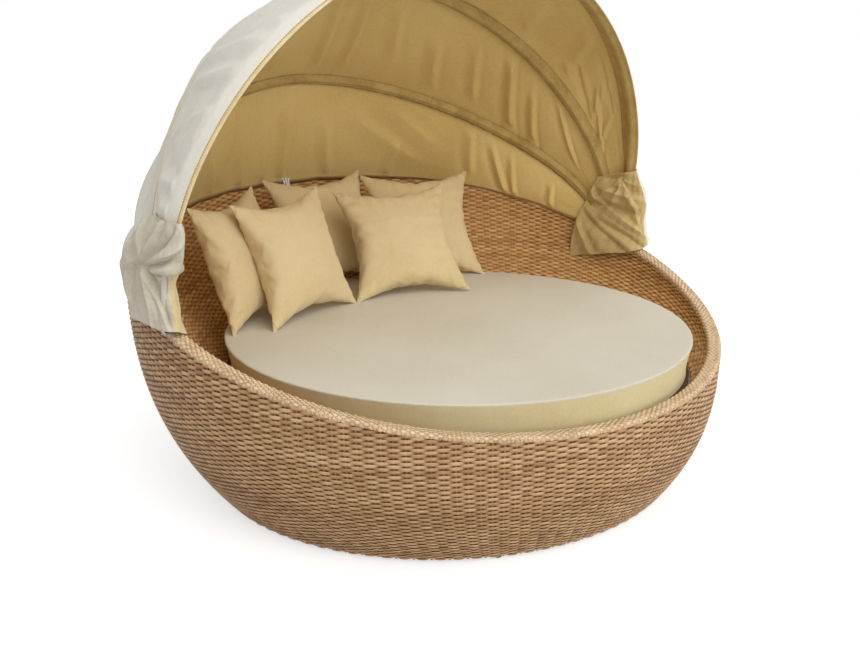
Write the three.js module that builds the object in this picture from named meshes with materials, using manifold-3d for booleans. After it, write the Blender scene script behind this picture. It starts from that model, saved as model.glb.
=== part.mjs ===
// Round woven daybed with a folding cloth canopy, in millimetres, +Z up, front towards -Y.
import * as THREE from 'three';
import { mergeVertices } from 'three/addons/utils/BufferGeometryUtils.js';
import Module from 'manifold-3d';

// Driving sizes of the woven bowl
const BED_WIDTH = 2120;
const BED_DEPTH = 2000;
const BASE_SIDE_INSET = 240;
const BASE_END_INSET = 225;
const BASE_SHIFT_LENGTH = 90;
const RIM_FRONT_HEIGHT = 431;
const RIM_SIDE_HEIGHT = 678;
const RIM_BACK_HEIGHT = 901;
const RIM_BAND = 48;
const RIM_LIP_DEPTH = 30;
const RIM_TOP_WALL = 8;
const WEAVE_WALL = 5;
const WEAVE_FLOOR_GAP = 5;
const WEAVE_SLACK = 3;
const RIM_TUBE_RADIUS = 15;
const BASE_TUBE_RADIUS = 14;
const DECK_TUBE_RADIUS = 14;
const RIB_RADIUS = 9;
const LEG_RADIUS = 10;
const GLIDE_RADIUS = 12;
const GLIDE_HEIGHT = 8;

// Driving sizes of the deck and mattress
const DECK_DROP = 33;
const DECK_WALL = 8;
const DECK_FORWARD = 140;
const DECK_BEAM_WIDTH = 30;
const DECK_BEAM_HEIGHT = 20;
const MATTRESS_RIM_INSET = 212;
const MATTRESS_FORWARD = 143;
const MATTRESS_THICKNESS = 128;
const MATTRESS_CROWN = 7;
const MATTRESS_WALL_GAP = 14;
const MATTRESS_EDGE_RADIUS = 16;
const COVER_WALL = 3;
const COVER_SIDE_DRAW = 5;
const ZIP_WIDTH = 9;
const ZIP_WALL = 4;

// Driving sizes of the pillows
const PILLOW_SIDE = 445;
const PILLOW_THICKNESS = 116;
const PILLOW_EDGE = 8;

// Driving sizes of the canopy frame
const BOW_TUBE_RADIUS = 11;
const BOW_PITCH_GAP = 1;
const BOW_LEG_BLEND = 230;
const REAR_BOW_REACH = 960;
const MID_BOW_REACH = 998;
const FRONT_BOW_REACH = 1089;
const REAR_BOW_OUTSET = 25;
const MID_BOW_OUTSET = 26;
const FRONT_BOW_OUTSET = 41;
const PIVOT_BACK = 10;
const PIVOT_RISE = 27;
const PIVOT_OUTSET = 7;
const TAB_WALL = 6;
const TAB_RADIUS = 11;
const TAB_REACH = 46;
const TUBE_START = 30;
const BOLT_RADIUS = 4;
const BOLT_HEAD_RADIUS = 7;
const BOLT_HEAD_HEIGHT = 5;
const NUT_RADIUS = 7.5;
const NUT_HEIGHT = 6.5;
const BOLT_OVERRUN = 3;
const SPACER_RADIUS = 8;
const BRACKET_WALL = 5;
const BRACKET_LENGTH = 54;
const SCREW_RADIUS = 2.5;
const SCREW_HEAD_RADIUS = 5;
const SCREW_HEAD_HEIGHT = 3;
const SCREW_BITE = 12;

// Driving sizes of the canopy cloth
const CLOTH_WALL = 3;
const CLOTH_TUBE_GAP = 1.2;
const CLOTH_FRONT_GAP = 2.8;
const CLOTH_RIM_GAP = 5;
const CLOTH_RIM_LAP = 30;
const CLOTH_RIM_RISE = 6;
const CLOTH_FOLD_DEPTH = 14;
const SEAM_RISE = 16;
const HEM_FORWARD = 14;
const FLAP_TOP_RISE = 116;
const FLAP_INNER_DROP = 96;
const FLAP_OUTER_DROP = 44;
const FLAP_BACK = 165;
const FLAP_FRONT = 96;
const FLAP_WALL_GAP = 15;
const FLAP_SIDE_GAP = 12;
const FLAP_FOLD_DEPTH = 4;
const TIE_WIDTH = 12;
const TIE_WALL = 1.5;
const TIE_DROP = 28;

// Clearances between touching pieces
const SEAT_GAP = 0.3;
const RIM_SEAT_GAP = 0.8;
const BORE_GAP = 0.3;
const CUT_OVERRUN = 2;

// Counts and plain ratios
const RING_STATIONS = 48;
const TUBE_SIDES = 8;
const WALL_ROWS = 6;
const INNER_WALL_ROWS = 5;
const RIB_ROWS = 6;
const RIB_COUNT = 8;
const LEG_COUNT = 6;
const BOW_STATIONS = 24;
const SEARCH_STEPS = 40;
const PANEL_ROWS = 6;
const PILLOW_ROWS = 9;
const ROUND_SIDES = 12;
const FOLD_COUNT = 6;
const WALL_POWER = 2.68;
const INNER_WALL_POWER = 1.8;
const RIM_WAVE_SHARE = -0.047;
const PILLOW_DRAW_SHARE = 0.055;
const PILLOW_PUFF_POWER = 0.45;
const DECK_BEAM_SHARES = [-0.52, 0, 0.52];
const SEAM_SHARE = 0.62;
const PANEL_END_SHARE = 0.046;
const PANEL_EDGE_SHARE = 0.002;
const FLAP_ROWS = 4;
const FLAP_HANG_SHARES = [1, 0.62, 0.36];
const FLAP_BEND_SHARES = [
  { across: -0.9, back: 0.16 },
  { across: -0.55, back: 0.04 },
  { across: 0, back: 0 },
  { across: 0.55, back: 0.04 },
  { across: 0.9, back: 0.16 },
];

const DEG = Math.PI / 180;
const wasm = await Module();
wasm.setup();

const rimHalfX = BED_WIDTH / 2;
const rimHalfY = BED_DEPTH / 2;
const baseHalfX = rimHalfX - BASE_SIDE_INSET;
const baseHalfY = rimHalfY - BASE_END_INSET;
const deckTop = RIM_FRONT_HEIGHT - DECK_DROP;
const deckRingHeight = deckTop - DECK_WALL - SEAT_GAP - DECK_TUBE_RADIUS;
const innerWallBottom = deckTop - DECK_WALL;
const mattressRadius = Math.min(rimHalfX, rimHalfY) - MATTRESS_RIM_INSET;
const deckOpening = mattressRadius + MATTRESS_WALL_GAP;
const mattressBottom = deckTop + SEAT_GAP;

function lerp(from, to, share) {
  return from + (to - from) * share;
}

function point(x, y, z) {
  return new THREE.Vector3(x, y, z);
}

function shares(count) {
  return Array.from({ length: count + 1 }, (_, index) => index / count);
}

// Closed bodies from points and quads, turned so that their faces point out
function closedBody(points, triangles) {
  let volume = 0;
  for (const [a, b, c] of triangles) {
    volume += points[a].dot(points[b].clone().cross(points[c]));
  }
  const ordered = volume > 0 ? triangles : triangles.map(([a, b, c]) => [a, c, b]);
  const geometry = new THREE.BufferGeometry();
  const flat = points.flatMap((p) => [p.x, p.y, p.z]);
  geometry.setAttribute('position', new THREE.Float32BufferAttribute(flat, 3));
  geometry.setIndex(ordered.flat());
  geometry.computeVertexNormals();
  return geometry;
}

function quad(a, b, c, d) {
  return [[a, b, c], [a, c, d]];
}

// A band of sections joined in a loop both ways, such as a ring tube or the woven wall
function loopBody(sections) {
  const size = sections[0].length;
  const triangles = [];
  sections.forEach((_, row) => {
    const next = (row + 1) % sections.length;
    for (let k = 0; k < size; k += 1) {
      const m = (k + 1) % size;
      triangles.push(...quad(row * size + k, row * size + m, next * size + m, next * size + k));
    }
  });
  return closedBody(sections.flat(), triangles);
}

// A run of sections with both ends closed by a fan
function runBody(sections) {
  const size = sections[0].length;
  const last = (sections.length - 1) * size;
  const triangles = [];
  for (let row = 0; row < sections.length - 1; row += 1) {
    for (let k = 0; k < size; k += 1) {
      const m = (k + 1) % size;
      const at = row * size;
      triangles.push(...quad(at + k, at + m, at + size + m, at + size + k));
    }
  }
  for (let k = 1; k < size - 1; k += 1) {
    triangles.push([0, k + 1, k]);
    triangles.push([last, last + k, last + k + 1]);
  }
  return closedBody(sections.flat(), triangles);
}

// A sheet with an outer and an inner grid of points, closed round its four edges
function sheetBody(outer, inner) {
  const rows = outer.length;
  const columns = outer[0].length;
  const offset = rows * columns;
  const id = (row, column) => row * columns + column;
  const triangles = [];
  for (let r = 0; r < rows - 1; r += 1) {
    for (let c = 0; c < columns - 1; c += 1) {
      const corners = [id(r, c), id(r, c + 1), id(r + 1, c + 1), id(r + 1, c)];
      triangles.push(...quad(...corners));
      triangles.push(...quad(...corners.reverse().map((corner) => corner + offset)));
    }
  }
  const edge = [];
  for (let c = 0; c < columns - 1; c += 1) edge.push(id(0, c));
  for (let r = 0; r < rows - 1; r += 1) edge.push(id(r, columns - 1));
  for (let c = columns - 1; c > 0; c -= 1) edge.push(id(rows - 1, c));
  for (let r = rows - 1; r > 0; r -= 1) edge.push(id(r, 0));
  edge.forEach((at, index) => {
    const next = edge[(index + 1) % edge.length];
    triangles.push(...quad(at, at + offset, next + offset, next));
  });
  return closedBody([...outer.flat(), ...inner.flat()], triangles);
}

// A round section about a centre, with its first point along the first axis
function roundSection(centre, axisA, axisB, radius, sides) {
  return Array.from({ length: sides }, (_, index) => {
    const angle = (2 * Math.PI * index) / sides;
    const along = axisA.clone().multiplyScalar(radius * Math.cos(angle));
    const across = axisB.clone().multiplyScalar(radius * Math.sin(angle));
    return centre.clone().add(along).add(across);
  });
}

function toSolid(geometry) {
  const bare = geometry.clone();
  bare.deleteAttribute('normal');
  bare.deleteAttribute('uv');
  const merged = mergeVertices(bare);
  const vertProperties = new Float32Array(merged.attributes.position.array);
  const triVerts = new Uint32Array(merged.index.array);
  return new wasm.Manifold(new wasm.Mesh({ numProp: 3, vertProperties, triVerts }));
}

function fromSolid(solid) {
  const mesh = solid.getMesh();
  const geometry = new THREE.BufferGeometry();
  geometry.setAttribute('position', new THREE.BufferAttribute(mesh.vertProperties, 3));
  geometry.setIndex(new THREE.BufferAttribute(mesh.triVerts, 1));
  geometry.computeVertexNormals();
  return geometry;
}

function cutBy(geometry, ...tools) {
  return fromSolid(tools.reduce((solid, tool) => solid.subtract(toSolid(tool)), toSolid(geometry)));
}

function joined(geometry, ...others) {
  return fromSolid(others.reduce((solid, other) => solid.add(toSolid(other)), toSolid(geometry)));
}

// A rod along X from one place to another, centred on a height and a depth
function rodAlongX(fromX, toX, y, z, radius, sides = ROUND_SIDES) {
  const geometry = new THREE.CylinderGeometry(radius, radius, Math.abs(toX - fromX), sides);
  geometry.rotateZ(Math.PI / 2);
  geometry.translate((fromX + toX) / 2, y, z);
  return geometry;
}

// Heights of the oblique rim round the bowl, turn 0 at the back and half a turn at the front
const rimMean = (RIM_FRONT_HEIGHT + RIM_BACK_HEIGHT) / 2;
const rimTilt = (RIM_BACK_HEIGHT - RIM_FRONT_HEIGHT) / 2;
const rimLevel = (rimMean + RIM_SIDE_HEIGHT) / 2;
const rimSaddle = (rimMean - RIM_SIDE_HEIGHT) / 2;

function rimHeight(turn) {
  const wave = rimTilt * RIM_WAVE_SHARE;
  const tilt = (rimTilt - wave) * Math.cos(turn) + wave * Math.cos(3 * turn);
  return rimLevel + tilt + rimSaddle * Math.cos(2 * turn);
}

// Outward direction of an ellipse with the given half widths
function outward(turn, halfX, halfY) {
  return point(Math.sin(turn) / halfX, Math.cos(turn) / halfY, 0).normalize();
}

// A point inside the outer wall at a height, at a depth measured square to the wall
function wallPoint(turn, height, depth) {
  const rim = rimHeight(turn);
  const share = Math.min(height / rim, 1);
  const fill = 1 - (1 - share) ** WALL_POWER;
  const halfX = lerp(baseHalfX, rimHalfX, fill);
  const halfY = lerp(baseHalfY, rimHalfY, fill);
  const rate = (WALL_POWER * (1 - share) ** (WALL_POWER - 1)) / rim;
  const spreadX = BASE_SIDE_INSET * Math.sin(turn);
  const spreadY = BASE_SHIFT_LENGTH + BASE_END_INSET * Math.cos(turn);
  const out = outward(turn, halfX, halfY);
  const lean = (spreadX * out.x + spreadY * out.y) * rate;
  const on = point(halfX * Math.sin(turn), halfY * Math.cos(turn) - BASE_SHIFT_LENGTH * (1 - fill), height);
  return on.addScaledVector(out, -depth * Math.hypot(1, lean));
}

// A point at a depth inward from the outer edge of the rim and below its top
function rimPoint(turn, depth, below) {
  const on = point(rimHalfX * Math.sin(turn), rimHalfY * Math.cos(turn), rimHeight(turn) - below);
  return on.addScaledVector(outward(turn, rimHalfX, rimHalfY), -depth);
}

// A point on the seat side of the inner wall at a share of its height, moved outwards
function innerWallPoint(turn, share, depth) {
  const fill = 1 - (1 - share) ** INNER_WALL_POWER;
  const low = deckPlace(turn, deckOpening, innerWallBottom);
  const high = rimPoint(turn, RIM_BAND, RIM_LIP_DEPTH + SEAT_GAP);
  const height = lerp(low.z, high.z, share);
  const on = low.lerp(high, fill).setZ(height);
  return on.addScaledVector(outward(turn, rimHalfX, rimHalfY), depth);
}

const ringTurns = shares(RING_STATIONS).slice(0, -1).map((share) => share * 2 * Math.PI);

function ringTube(centreAt, radius) {
  return loopBody(ringTurns.map((turn) => {
    const centre = centreAt(turn);
    const out = outward(turn, rimHalfX, rimHalfY);
    return roundSection(centre, out, point(0, 0, 1), radius, TUBE_SIDES);
  }));
}

const rimTubeBelow = RIM_TOP_WALL + SEAT_GAP + RIM_TUBE_RADIUS;
const baseTubeHeight = GLIDE_HEIGHT + SEAT_GAP + BASE_TUBE_RADIUS;
const baseTubeDepth = WEAVE_WALL + WEAVE_SLACK + BASE_TUBE_RADIUS;

function rimTube(extra) {
  return ringTube((turn) => rimPoint(turn, RIM_BAND / 2, rimTubeBelow), RIM_TUBE_RADIUS + extra);
}

function baseTube(extra) {
  const centreAt = (turn) => wallPoint(turn, baseTubeHeight, baseTubeDepth);
  return ringTube(centreAt, BASE_TUBE_RADIUS + extra);
}

function deckPlace(turn, radius, height) {
  return point(radius * Math.sin(turn), radius * Math.cos(turn) - DECK_FORWARD, height);
}

function deckTube(extra) {
  return ringTube((turn) => deckPlace(turn, deckOpening, deckRingHeight), DECK_TUBE_RADIUS + extra);
}

// The woven wall outside and inside, and the braid over the rim tube
function outerWeave() {
  return loopBody(ringTurns.map((turn) => {
    const top = rimHeight(turn) - RIM_LIP_DEPTH - SEAT_GAP;
    const heights = shares(WALL_ROWS).map((share) => lerp(WEAVE_FLOOR_GAP, top, share));
    const outside = heights.map((height) => wallPoint(turn, height, 0));
    const inside = heights.map((height) => wallPoint(turn, height, WEAVE_WALL));
    return [...outside, ...inside.reverse()];
  }));
}

function innerWeave() {
  return loopBody(ringTurns.map((turn) => {
    const rows = shares(INNER_WALL_ROWS);
    const seatSide = rows.map((share) => innerWallPoint(turn, share, 0));
    const hiddenSide = rows.map((share) => innerWallPoint(turn, share, WEAVE_WALL));
    return [...hiddenSide, ...seatSide.reverse()];
  }));
}

function rimBraid() {
  const lip = RIM_BAND / 2 - RIM_TUBE_RADIUS - SEAT_GAP;
  return loopBody(ringTurns.map((turn) => [
    rimPoint(turn, 0, RIM_LIP_DEPTH),
    rimPoint(turn, 0, 0),
    rimPoint(turn, RIM_BAND, 0),
    rimPoint(turn, RIM_BAND, RIM_LIP_DEPTH),
    rimPoint(turn, RIM_BAND - lip, RIM_LIP_DEPTH),
    rimPoint(turn, RIM_BAND - lip, RIM_TOP_WALL),
    rimPoint(turn, lip, RIM_TOP_WALL),
    rimPoint(turn, lip, RIM_LIP_DEPTH),
  ]));
}

// Ribs that stand behind the outer weave between the base tube and the rim tube
function wallRib(turn) {
  const depth = WEAVE_WALL + WEAVE_SLACK + RIB_RADIUS;
  const top = rimHeight(turn) - RIM_LIP_DEPTH - SEAT_GAP;
  const sections = shares(RIB_ROWS).map((share) => {
    const height = lerp(baseTubeHeight, top, share);
    const centre = wallPoint(turn, height, depth);
    const out = outward(turn, rimHalfX, rimHalfY);
    const side = point(-out.y, out.x, 0);
    const lean = centre.clone().sub(wallPoint(turn, height, 0)).normalize();
    return roundSection(centre, lean, side, RIB_RADIUS, TUBE_SIDES);
  });
  return cutBy(runBody(sections), rimTube(SEAT_GAP), baseTube(SEAT_GAP));
}

// Legs that carry the deck ring on the base tube
function deckLeg(turn) {
  const foot = wallPoint(turn, baseTubeHeight, baseTubeDepth);
  const head = deckPlace(turn, deckOpening, deckRingHeight);
  const sections = [foot, head].map((centre) => (
    roundSection(centre, point(1, 0, 0), point(0, 1, 0), LEG_RADIUS, TUBE_SIDES)
  ));
  return cutBy(runBody(sections), deckTube(SEAT_GAP), baseTube(SEAT_GAP));
}

function deckBeam(share) {
  const y = share * deckOpening;
  const half = Math.sqrt(deckOpening ** 2 - y ** 2);
  const beam = new THREE.BoxGeometry(2 * half, DECK_BEAM_WIDTH, DECK_BEAM_HEIGHT);
  const top = deckTop - DECK_WALL - SEAT_GAP;
  beam.translate(0, y - DECK_FORWARD, top - DECK_BEAM_HEIGHT / 2);
  const ringHole = loopBody(ringTurns.map((turn) => {
    const inner = deckOpening - DECK_TUBE_RADIUS - SEAT_GAP;
    const outer = deckOpening + DECK_BEAM_WIDTH;
    return [
      deckPlace(turn, inner, innerWallBottom - DECK_BEAM_HEIGHT * 2),
      deckPlace(turn, outer, innerWallBottom - DECK_BEAM_HEIGHT * 2),
      deckPlace(turn, outer, innerWallBottom),
      deckPlace(turn, inner, innerWallBottom),
    ];
  }));
  return cutBy(beam, ringHole);
}

function seatDeck() {
  const radius = deckOpening - SEAT_GAP;
  return runBody([deckTop - DECK_WALL, deckTop].map((height) => (
    ringTurns.map((turn) => deckPlace(turn, radius, height))
  )));
}

function glide(turn) {
  const centre = wallPoint(turn, baseTubeHeight, baseTubeDepth + GLIDE_RADIUS / 2);
  const geometry = new THREE.CylinderGeometry(GLIDE_RADIUS, GLIDE_RADIUS, GLIDE_HEIGHT, ROUND_SIDES);
  geometry.rotateX(Math.PI / 2);
  geometry.translate(centre.x, centre.y, GLIDE_HEIGHT / 2);
  return geometry;
}

// Mattress: a sewn cover with a zip opening, over a foam core
function mattressTopAt(x, y) {
  const share = Math.min(Math.hypot(x, y + MATTRESS_FORWARD) / mattressRadius, 1);
  return mattressBottom + MATTRESS_THICKNESS + MATTRESS_CROWN * (1 - share ** 2);
}

function mattressProfile(shrink) {
  const radius = mattressRadius - shrink;
  const low = mattressBottom + shrink;
  const edge = MATTRESS_EDGE_RADIUS - shrink;
  const high = mattressBottom + MATTRESS_THICKNESS - shrink;
  const middle = (low + high) / 2;
  const arc = shares(2).map((share) => {
    const angle = share * Math.PI / 2;
    const r = radius - edge + edge * Math.cos(angle);
    return new THREE.Vector2(r, high - edge + edge * Math.sin(angle));
  });
  const crown = shares(3).slice(1).map((share) => {
    const r = (radius - edge) * (1 - share);
    return new THREE.Vector2(r, high + MATTRESS_CROWN * (1 - (r / radius) ** 2));
  });
  return [
    new THREE.Vector2(0, low),
    new THREE.Vector2(radius - edge, low),
    new THREE.Vector2(radius, low + edge),
    new THREE.Vector2(radius - COVER_SIDE_DRAW, middle),
    ...arc,
    ...crown,
  ];
}

function mattressBody(shrink) {
  const geometry = new THREE.LatheGeometry(mattressProfile(shrink), RING_STATIONS);
  geometry.rotateX(Math.PI / 2);
  geometry.translate(0, -MATTRESS_FORWARD, 0);
  return geometry;
}

const zipLength = mattressRadius;
const zipHeight = mattressBottom + MATTRESS_THICKNESS / 3;

function zipSlot(extra) {
  const depth = MATTRESS_EDGE_RADIUS;
  const rows = shares(8).map((share) => (share - 0.5) * (zipLength / mattressRadius));
  return runBody(rows.map((angle) => {
    const at = (radius, height) => point(
      radius * Math.sin(angle),
      radius * Math.cos(angle) - MATTRESS_FORWARD,
      height,
    );
    const outer = mattressRadius - COVER_SIDE_DRAW - ZIP_WALL / 4 + extra * depth;
    const inner = outer - ZIP_WALL - 2 * extra * depth;
    const half = ZIP_WIDTH / 2 + extra * SEAT_GAP;
    return [
      at(inner, zipHeight - half),
      at(outer, zipHeight - half),
      at(outer, zipHeight + half),
      at(inner, zipHeight + half),
    ];
  }));
}

function mattressCover() {
  return cutBy(mattressBody(0), mattressBody(COVER_WALL), zipSlot(1));
}

function mattressFoam() {
  return cutBy(mattressBody(COVER_WALL + SEAT_GAP), zipSlot(1));
}

// Pillows: square, drawn in between the corners and full in the middle
function pillowGrid(side) {
  const steps = shares(PILLOW_ROWS - 1).map((share) => share * 2 - 1);
  return steps.map((a) => steps.map((b) => {
    const x = (PILLOW_SIDE / 2) * a * (1 - PILLOW_DRAW_SHARE * (1 - b * b));
    const z = (PILLOW_SIDE / 2) * b * (1 - PILLOW_DRAW_SHARE * (1 - a * a));
    const puff = ((1 - a * a) * (1 - b * b)) ** PILLOW_PUFF_POWER;
    const y = side * (PILLOW_EDGE / 2 + ((PILLOW_THICKNESS - PILLOW_EDGE) / 2) * puff);
    return point(x, y, z);
  }));
}

function seatedPillow(place, forward) {
  const geometry = sheetBody(pillowGrid(-1), pillowGrid(1));
  geometry.translate(0, 0, PILLOW_SIDE / 2);
  geometry.rotateY(-place.roll * DEG);
  geometry.rotateX(-place.tilt * DEG);
  geometry.rotateZ(place.yaw * DEG);
  const footX = place.acrossShare * mattressRadius;
  const footY = place.backShare * mattressRadius - MATTRESS_FORWARD - forward;
  geometry.translate(footX, footY, mattressBottom + MATTRESS_THICKNESS);
  const position = geometry.attributes.position;
  let lowest = Infinity;
  for (let k = 0; k < position.count; k += 1) {
    const above = position.getZ(k) - mattressTopAt(position.getX(k), position.getY(k));
    lowest = Math.min(lowest, above);
  }
  geometry.translate(0, 0, SEAT_GAP - lowest);
  return geometry;
}

function overlaps(geometry, others) {
  const solid = toSolid(geometry);
  return others.some((other) => solid.intersect(other).volume() > 0);
}

// A pillow slides forward only as far as the wall and the pillows behind it need
function leanedPillow(place, others) {
  if (!overlaps(seatedPillow(place, 0), others)) return seatedPillow(place, 0);
  let clear = PILLOW_EDGE;
  while (overlaps(seatedPillow(place, clear), others)) clear *= 2;
  let blocked = 0;
  while (clear - blocked > SEAT_GAP / 2) {
    const middle = (clear + blocked) / 2;
    if (overlaps(seatedPillow(place, middle), others)) blocked = middle;
    else clear = middle;
  }
  return seatedPillow(place, clear + SEAT_GAP);
}

const PILLOW_PLACES = [
  { acrossShare: 0.084, backShare: 0.912, yaw: -4.4, tilt: 28, roll: -0.3 },
  { acrossShare: 0.49, backShare: 0.704, yaw: -24.9, tilt: 32.7, roll: -0.5 },
  { acrossShare: -0.583, backShare: 0.65, yaw: 27.5, tilt: 19.6, roll: 0.1 },
  { acrossShare: -0.396, backShare: 0.509, yaw: 12.4, tilt: 22.6, roll: 0.6 },
  { acrossShare: 0.165, backShare: 0.47, yaw: -21.7, tilt: 35.4, roll: 1.2 },
];

// Canopy bows: each turns on the side pivots and bends from one pivot to the other
const rimSlope = (() => {
  const turn = Math.acos(PIVOT_BACK / rimHalfY);
  const step = DEG;
  const rise = rimHeight(turn - step) - rimHeight(turn + step);
  return Math.atan2(rise, rimHalfY * (Math.cos(turn - step) - Math.cos(turn + step)));
})();
const bracketBack = PIVOT_BACK + PIVOT_RISE * Math.sin(rimSlope);
const bracketFoot = rimHeight(Math.acos(bracketBack / rimHalfY)) + RIM_SEAT_GAP;
const pivotHeight = bracketFoot + PIVOT_RISE * Math.cos(rimSlope);
const pivotMiddle = rimHalfX - RIM_BAND / 2 + PIVOT_OUTSET;
const bowPitch = 2 * BOW_TUBE_RADIUS + BOW_PITCH_GAP;

const REAR_BOW = {
  angle: 38.6,
  reach: REAR_BOW_REACH,
  half: rimHalfX + REAR_BOW_OUTSET,
  pivot: pivotMiddle - bowPitch,
  power: 1.8,
  cloth: BOW_TUBE_RADIUS + CLOTH_TUBE_GAP,
};
const MID_BOW = {
  angle: 72.5,
  reach: MID_BOW_REACH,
  half: rimHalfX + MID_BOW_OUTSET,
  pivot: pivotMiddle,
  power: 1.9,
  cloth: BOW_TUBE_RADIUS + CLOTH_TUBE_GAP,
};
const FRONT_BOW = {
  angle: 100.8,
  reach: FRONT_BOW_REACH,
  half: rimHalfX + FRONT_BOW_OUTSET,
  pivot: pivotMiddle + bowPitch,
  power: 2.08,
  cloth: BOW_TUBE_RADIUS + CLOTH_FRONT_GAP,
};

// Distance from the pivot line and place across the bed, before the bow is tilted
function bowPlace(bow, sweep, offset) {
  const across = Math.abs(Math.cos(sweep));
  const away = Math.abs(Math.sin(sweep));
  const size = (across ** bow.power + away ** bow.power) ** (-1 / bow.power);
  const reach = (bow.reach + offset) * away * size;
  const gather = (bow.half - bow.pivot) * Math.exp(-((reach / BOW_LEG_BLEND) ** 2));
  const x = ((bow.half + offset) * across * size - gather) * Math.sign(Math.cos(sweep));
  return { x, reach };
}

function bowPoint(bow, sweep, offset, turn = 0) {
  const { x, reach } = bowPlace(bow, sweep, offset);
  const angle = (bow.angle + turn) * DEG;
  return point(x, PIVOT_BACK + reach * Math.cos(angle), pivotHeight + reach * Math.sin(angle));
}

// Where the bow's tube starts, at a set distance from the pivot
function sweepAtReach(bow, distance) {
  let low = 0;
  let high = Math.PI / 2;
  for (let k = 0; k < SEARCH_STEPS; k += 1) {
    const middle = (low + high) / 2;
    if (bowPlace(bow, middle, 0).reach < distance) low = middle;
    else high = middle;
  }
  return high;
}

function bowTube(bow) {
  const start = sweepAtReach(bow, TUBE_START);
  const sweeps = [
    start,
    ...shares(BOW_STATIONS).map((share) => panelSweep(share)),
    Math.PI - start,
  ];
  const side = point(0, -Math.sin(bow.angle * DEG), Math.cos(bow.angle * DEG));
  const step = DEG / 4;
  return runBody(sweeps.map((sweep) => {
    const centre = bowPoint(bow, sweep, 0);
    const along = bowPoint(bow, sweep + step, 0).sub(bowPoint(bow, sweep - step, 0));
    const out = along.cross(side).normalize();
    return roundSection(centre, out, side, BOW_TUBE_RADIUS, TUBE_SIDES);
  }));
}

function bowTab(bow, hand) {
  const plate = new THREE.BoxGeometry(TAB_WALL, TAB_REACH, 2 * TAB_RADIUS * Math.cos(Math.PI / 4));
  plate.translate(0, TAB_REACH / 2, 0);
  const geometry = joined(plate, rodAlongX(-TAB_WALL / 2, TAB_WALL / 2, 0, 0, TAB_RADIUS));
  geometry.rotateX(bow.angle * DEG);
  geometry.translate(hand * bow.pivot, PIVOT_BACK, pivotHeight);
  return geometry;
}

function pivotRod(hand, fromX, toX, radius, sides) {
  return rodAlongX(hand * fromX, hand * toX, PIVOT_BACK, pivotHeight, radius, sides);
}

function canopyBow(bow) {
  const reach = bow.pivot + TAB_WALL + CUT_OVERRUN;
  const body = joined(bowTube(bow), bowTab(bow, -1), bowTab(bow, 1));
  return cutBy(body, ...[-1, 1].map((hand) => (
    pivotRod(hand, bow.pivot - TAB_WALL - CUT_OVERRUN, reach, BOLT_RADIUS + BORE_GAP)
  )));
}

// Pivot hardware on the rim at each side
const stackInner = REAR_BOW.pivot - TAB_WALL / 2 - SEAT_GAP - BRACKET_WALL;
const stackOuter = FRONT_BOW.pivot + TAB_WALL / 2 + SEAT_GAP + BRACKET_WALL;
const earRise = PIVOT_RISE + TAB_RADIUS;
const screwAhead = BRACKET_LENGTH / 2 - SCREW_HEAD_RADIUS - CUT_OVERRUN;
const screwX = rimHalfX - RIM_BAND / 2;

function onRimSlope(geometry, x) {
  geometry.rotateX(rimSlope);
  geometry.translate(x, bracketBack, bracketFoot);
  return geometry;
}

// A round stretch of the bracket screw, from one height over the bracket's foot to another
function screwStretch(hand, radius, low, high) {
  const geometry = new THREE.CylinderGeometry(radius, radius, high - low, ROUND_SIDES);
  geometry.rotateX(Math.PI / 2);
  geometry.translate(0, -screwAhead, (low + high) / 2);
  return onRimSlope(geometry, hand * screwX);
}

function screwHole(hand) {
  return screwStretch(hand, SCREW_RADIUS + BORE_GAP, -SCREW_BITE - BORE_GAP, BRACKET_WALL + BORE_GAP);
}

function bracketScrew(hand) {
  const seat = BRACKET_WALL + SEAT_GAP;
  const shank = screwStretch(hand, SCREW_RADIUS, -SCREW_BITE, seat + SCREW_HEAD_HEIGHT / 2);
  return joined(shank, screwStretch(hand, SCREW_HEAD_RADIUS, seat, seat + SCREW_HEAD_HEIGHT));
}

function pivotBracket(hand) {
  const width = stackOuter - stackInner;
  const plate = new THREE.BoxGeometry(width, BRACKET_LENGTH, BRACKET_WALL);
  plate.translate(0, 0, BRACKET_WALL / 2);
  const ears = [-1, 1].map((end) => {
    const ear = new THREE.BoxGeometry(BRACKET_WALL, 2 * TAB_RADIUS, earRise);
    ear.translate(end * (width - BRACKET_WALL) / 2, 0, earRise / 2);
    return ear;
  });
  const bracket = onRimSlope(joined(plate, ...ears), hand * (stackInner + stackOuter) / 2);
  const bore = pivotRod(hand, stackInner - CUT_OVERRUN, stackOuter + CUT_OVERRUN, BOLT_RADIUS + BORE_GAP);
  return cutBy(bracket, bore, screwHole(hand));
}

function pivotBolt(hand) {
  const headStart = stackOuter + SEAT_GAP;
  const tail = stackInner - SEAT_GAP - NUT_HEIGHT - BOLT_OVERRUN;
  const shank = pivotRod(hand, tail, headStart + BOLT_HEAD_HEIGHT / 2, BOLT_RADIUS);
  return joined(shank, pivotRod(hand, headStart, headStart + BOLT_HEAD_HEIGHT, BOLT_HEAD_RADIUS));
}

function pivotNut(hand) {
  const outer = stackInner - SEAT_GAP;
  const inner = outer - NUT_HEIGHT;
  const bore = pivotRod(hand, inner - CUT_OVERRUN, outer + CUT_OVERRUN, BOLT_RADIUS + BORE_GAP);
  return cutBy(pivotRod(hand, inner, outer, NUT_RADIUS, 6), bore);
}

function pivotSpacer(hand, innerBow) {
  const from = innerBow.pivot + TAB_WALL / 2 + SEAT_GAP;
  const to = innerBow.pivot + bowPitch - TAB_WALL / 2 - SEAT_GAP;
  const bore = pivotRod(hand, from - CUT_OVERRUN, to + CUT_OVERRUN, BOLT_RADIUS + BORE_GAP);
  return cutBy(pivotRod(hand, from, to, SPACER_RADIUS), bore);
}

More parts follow.
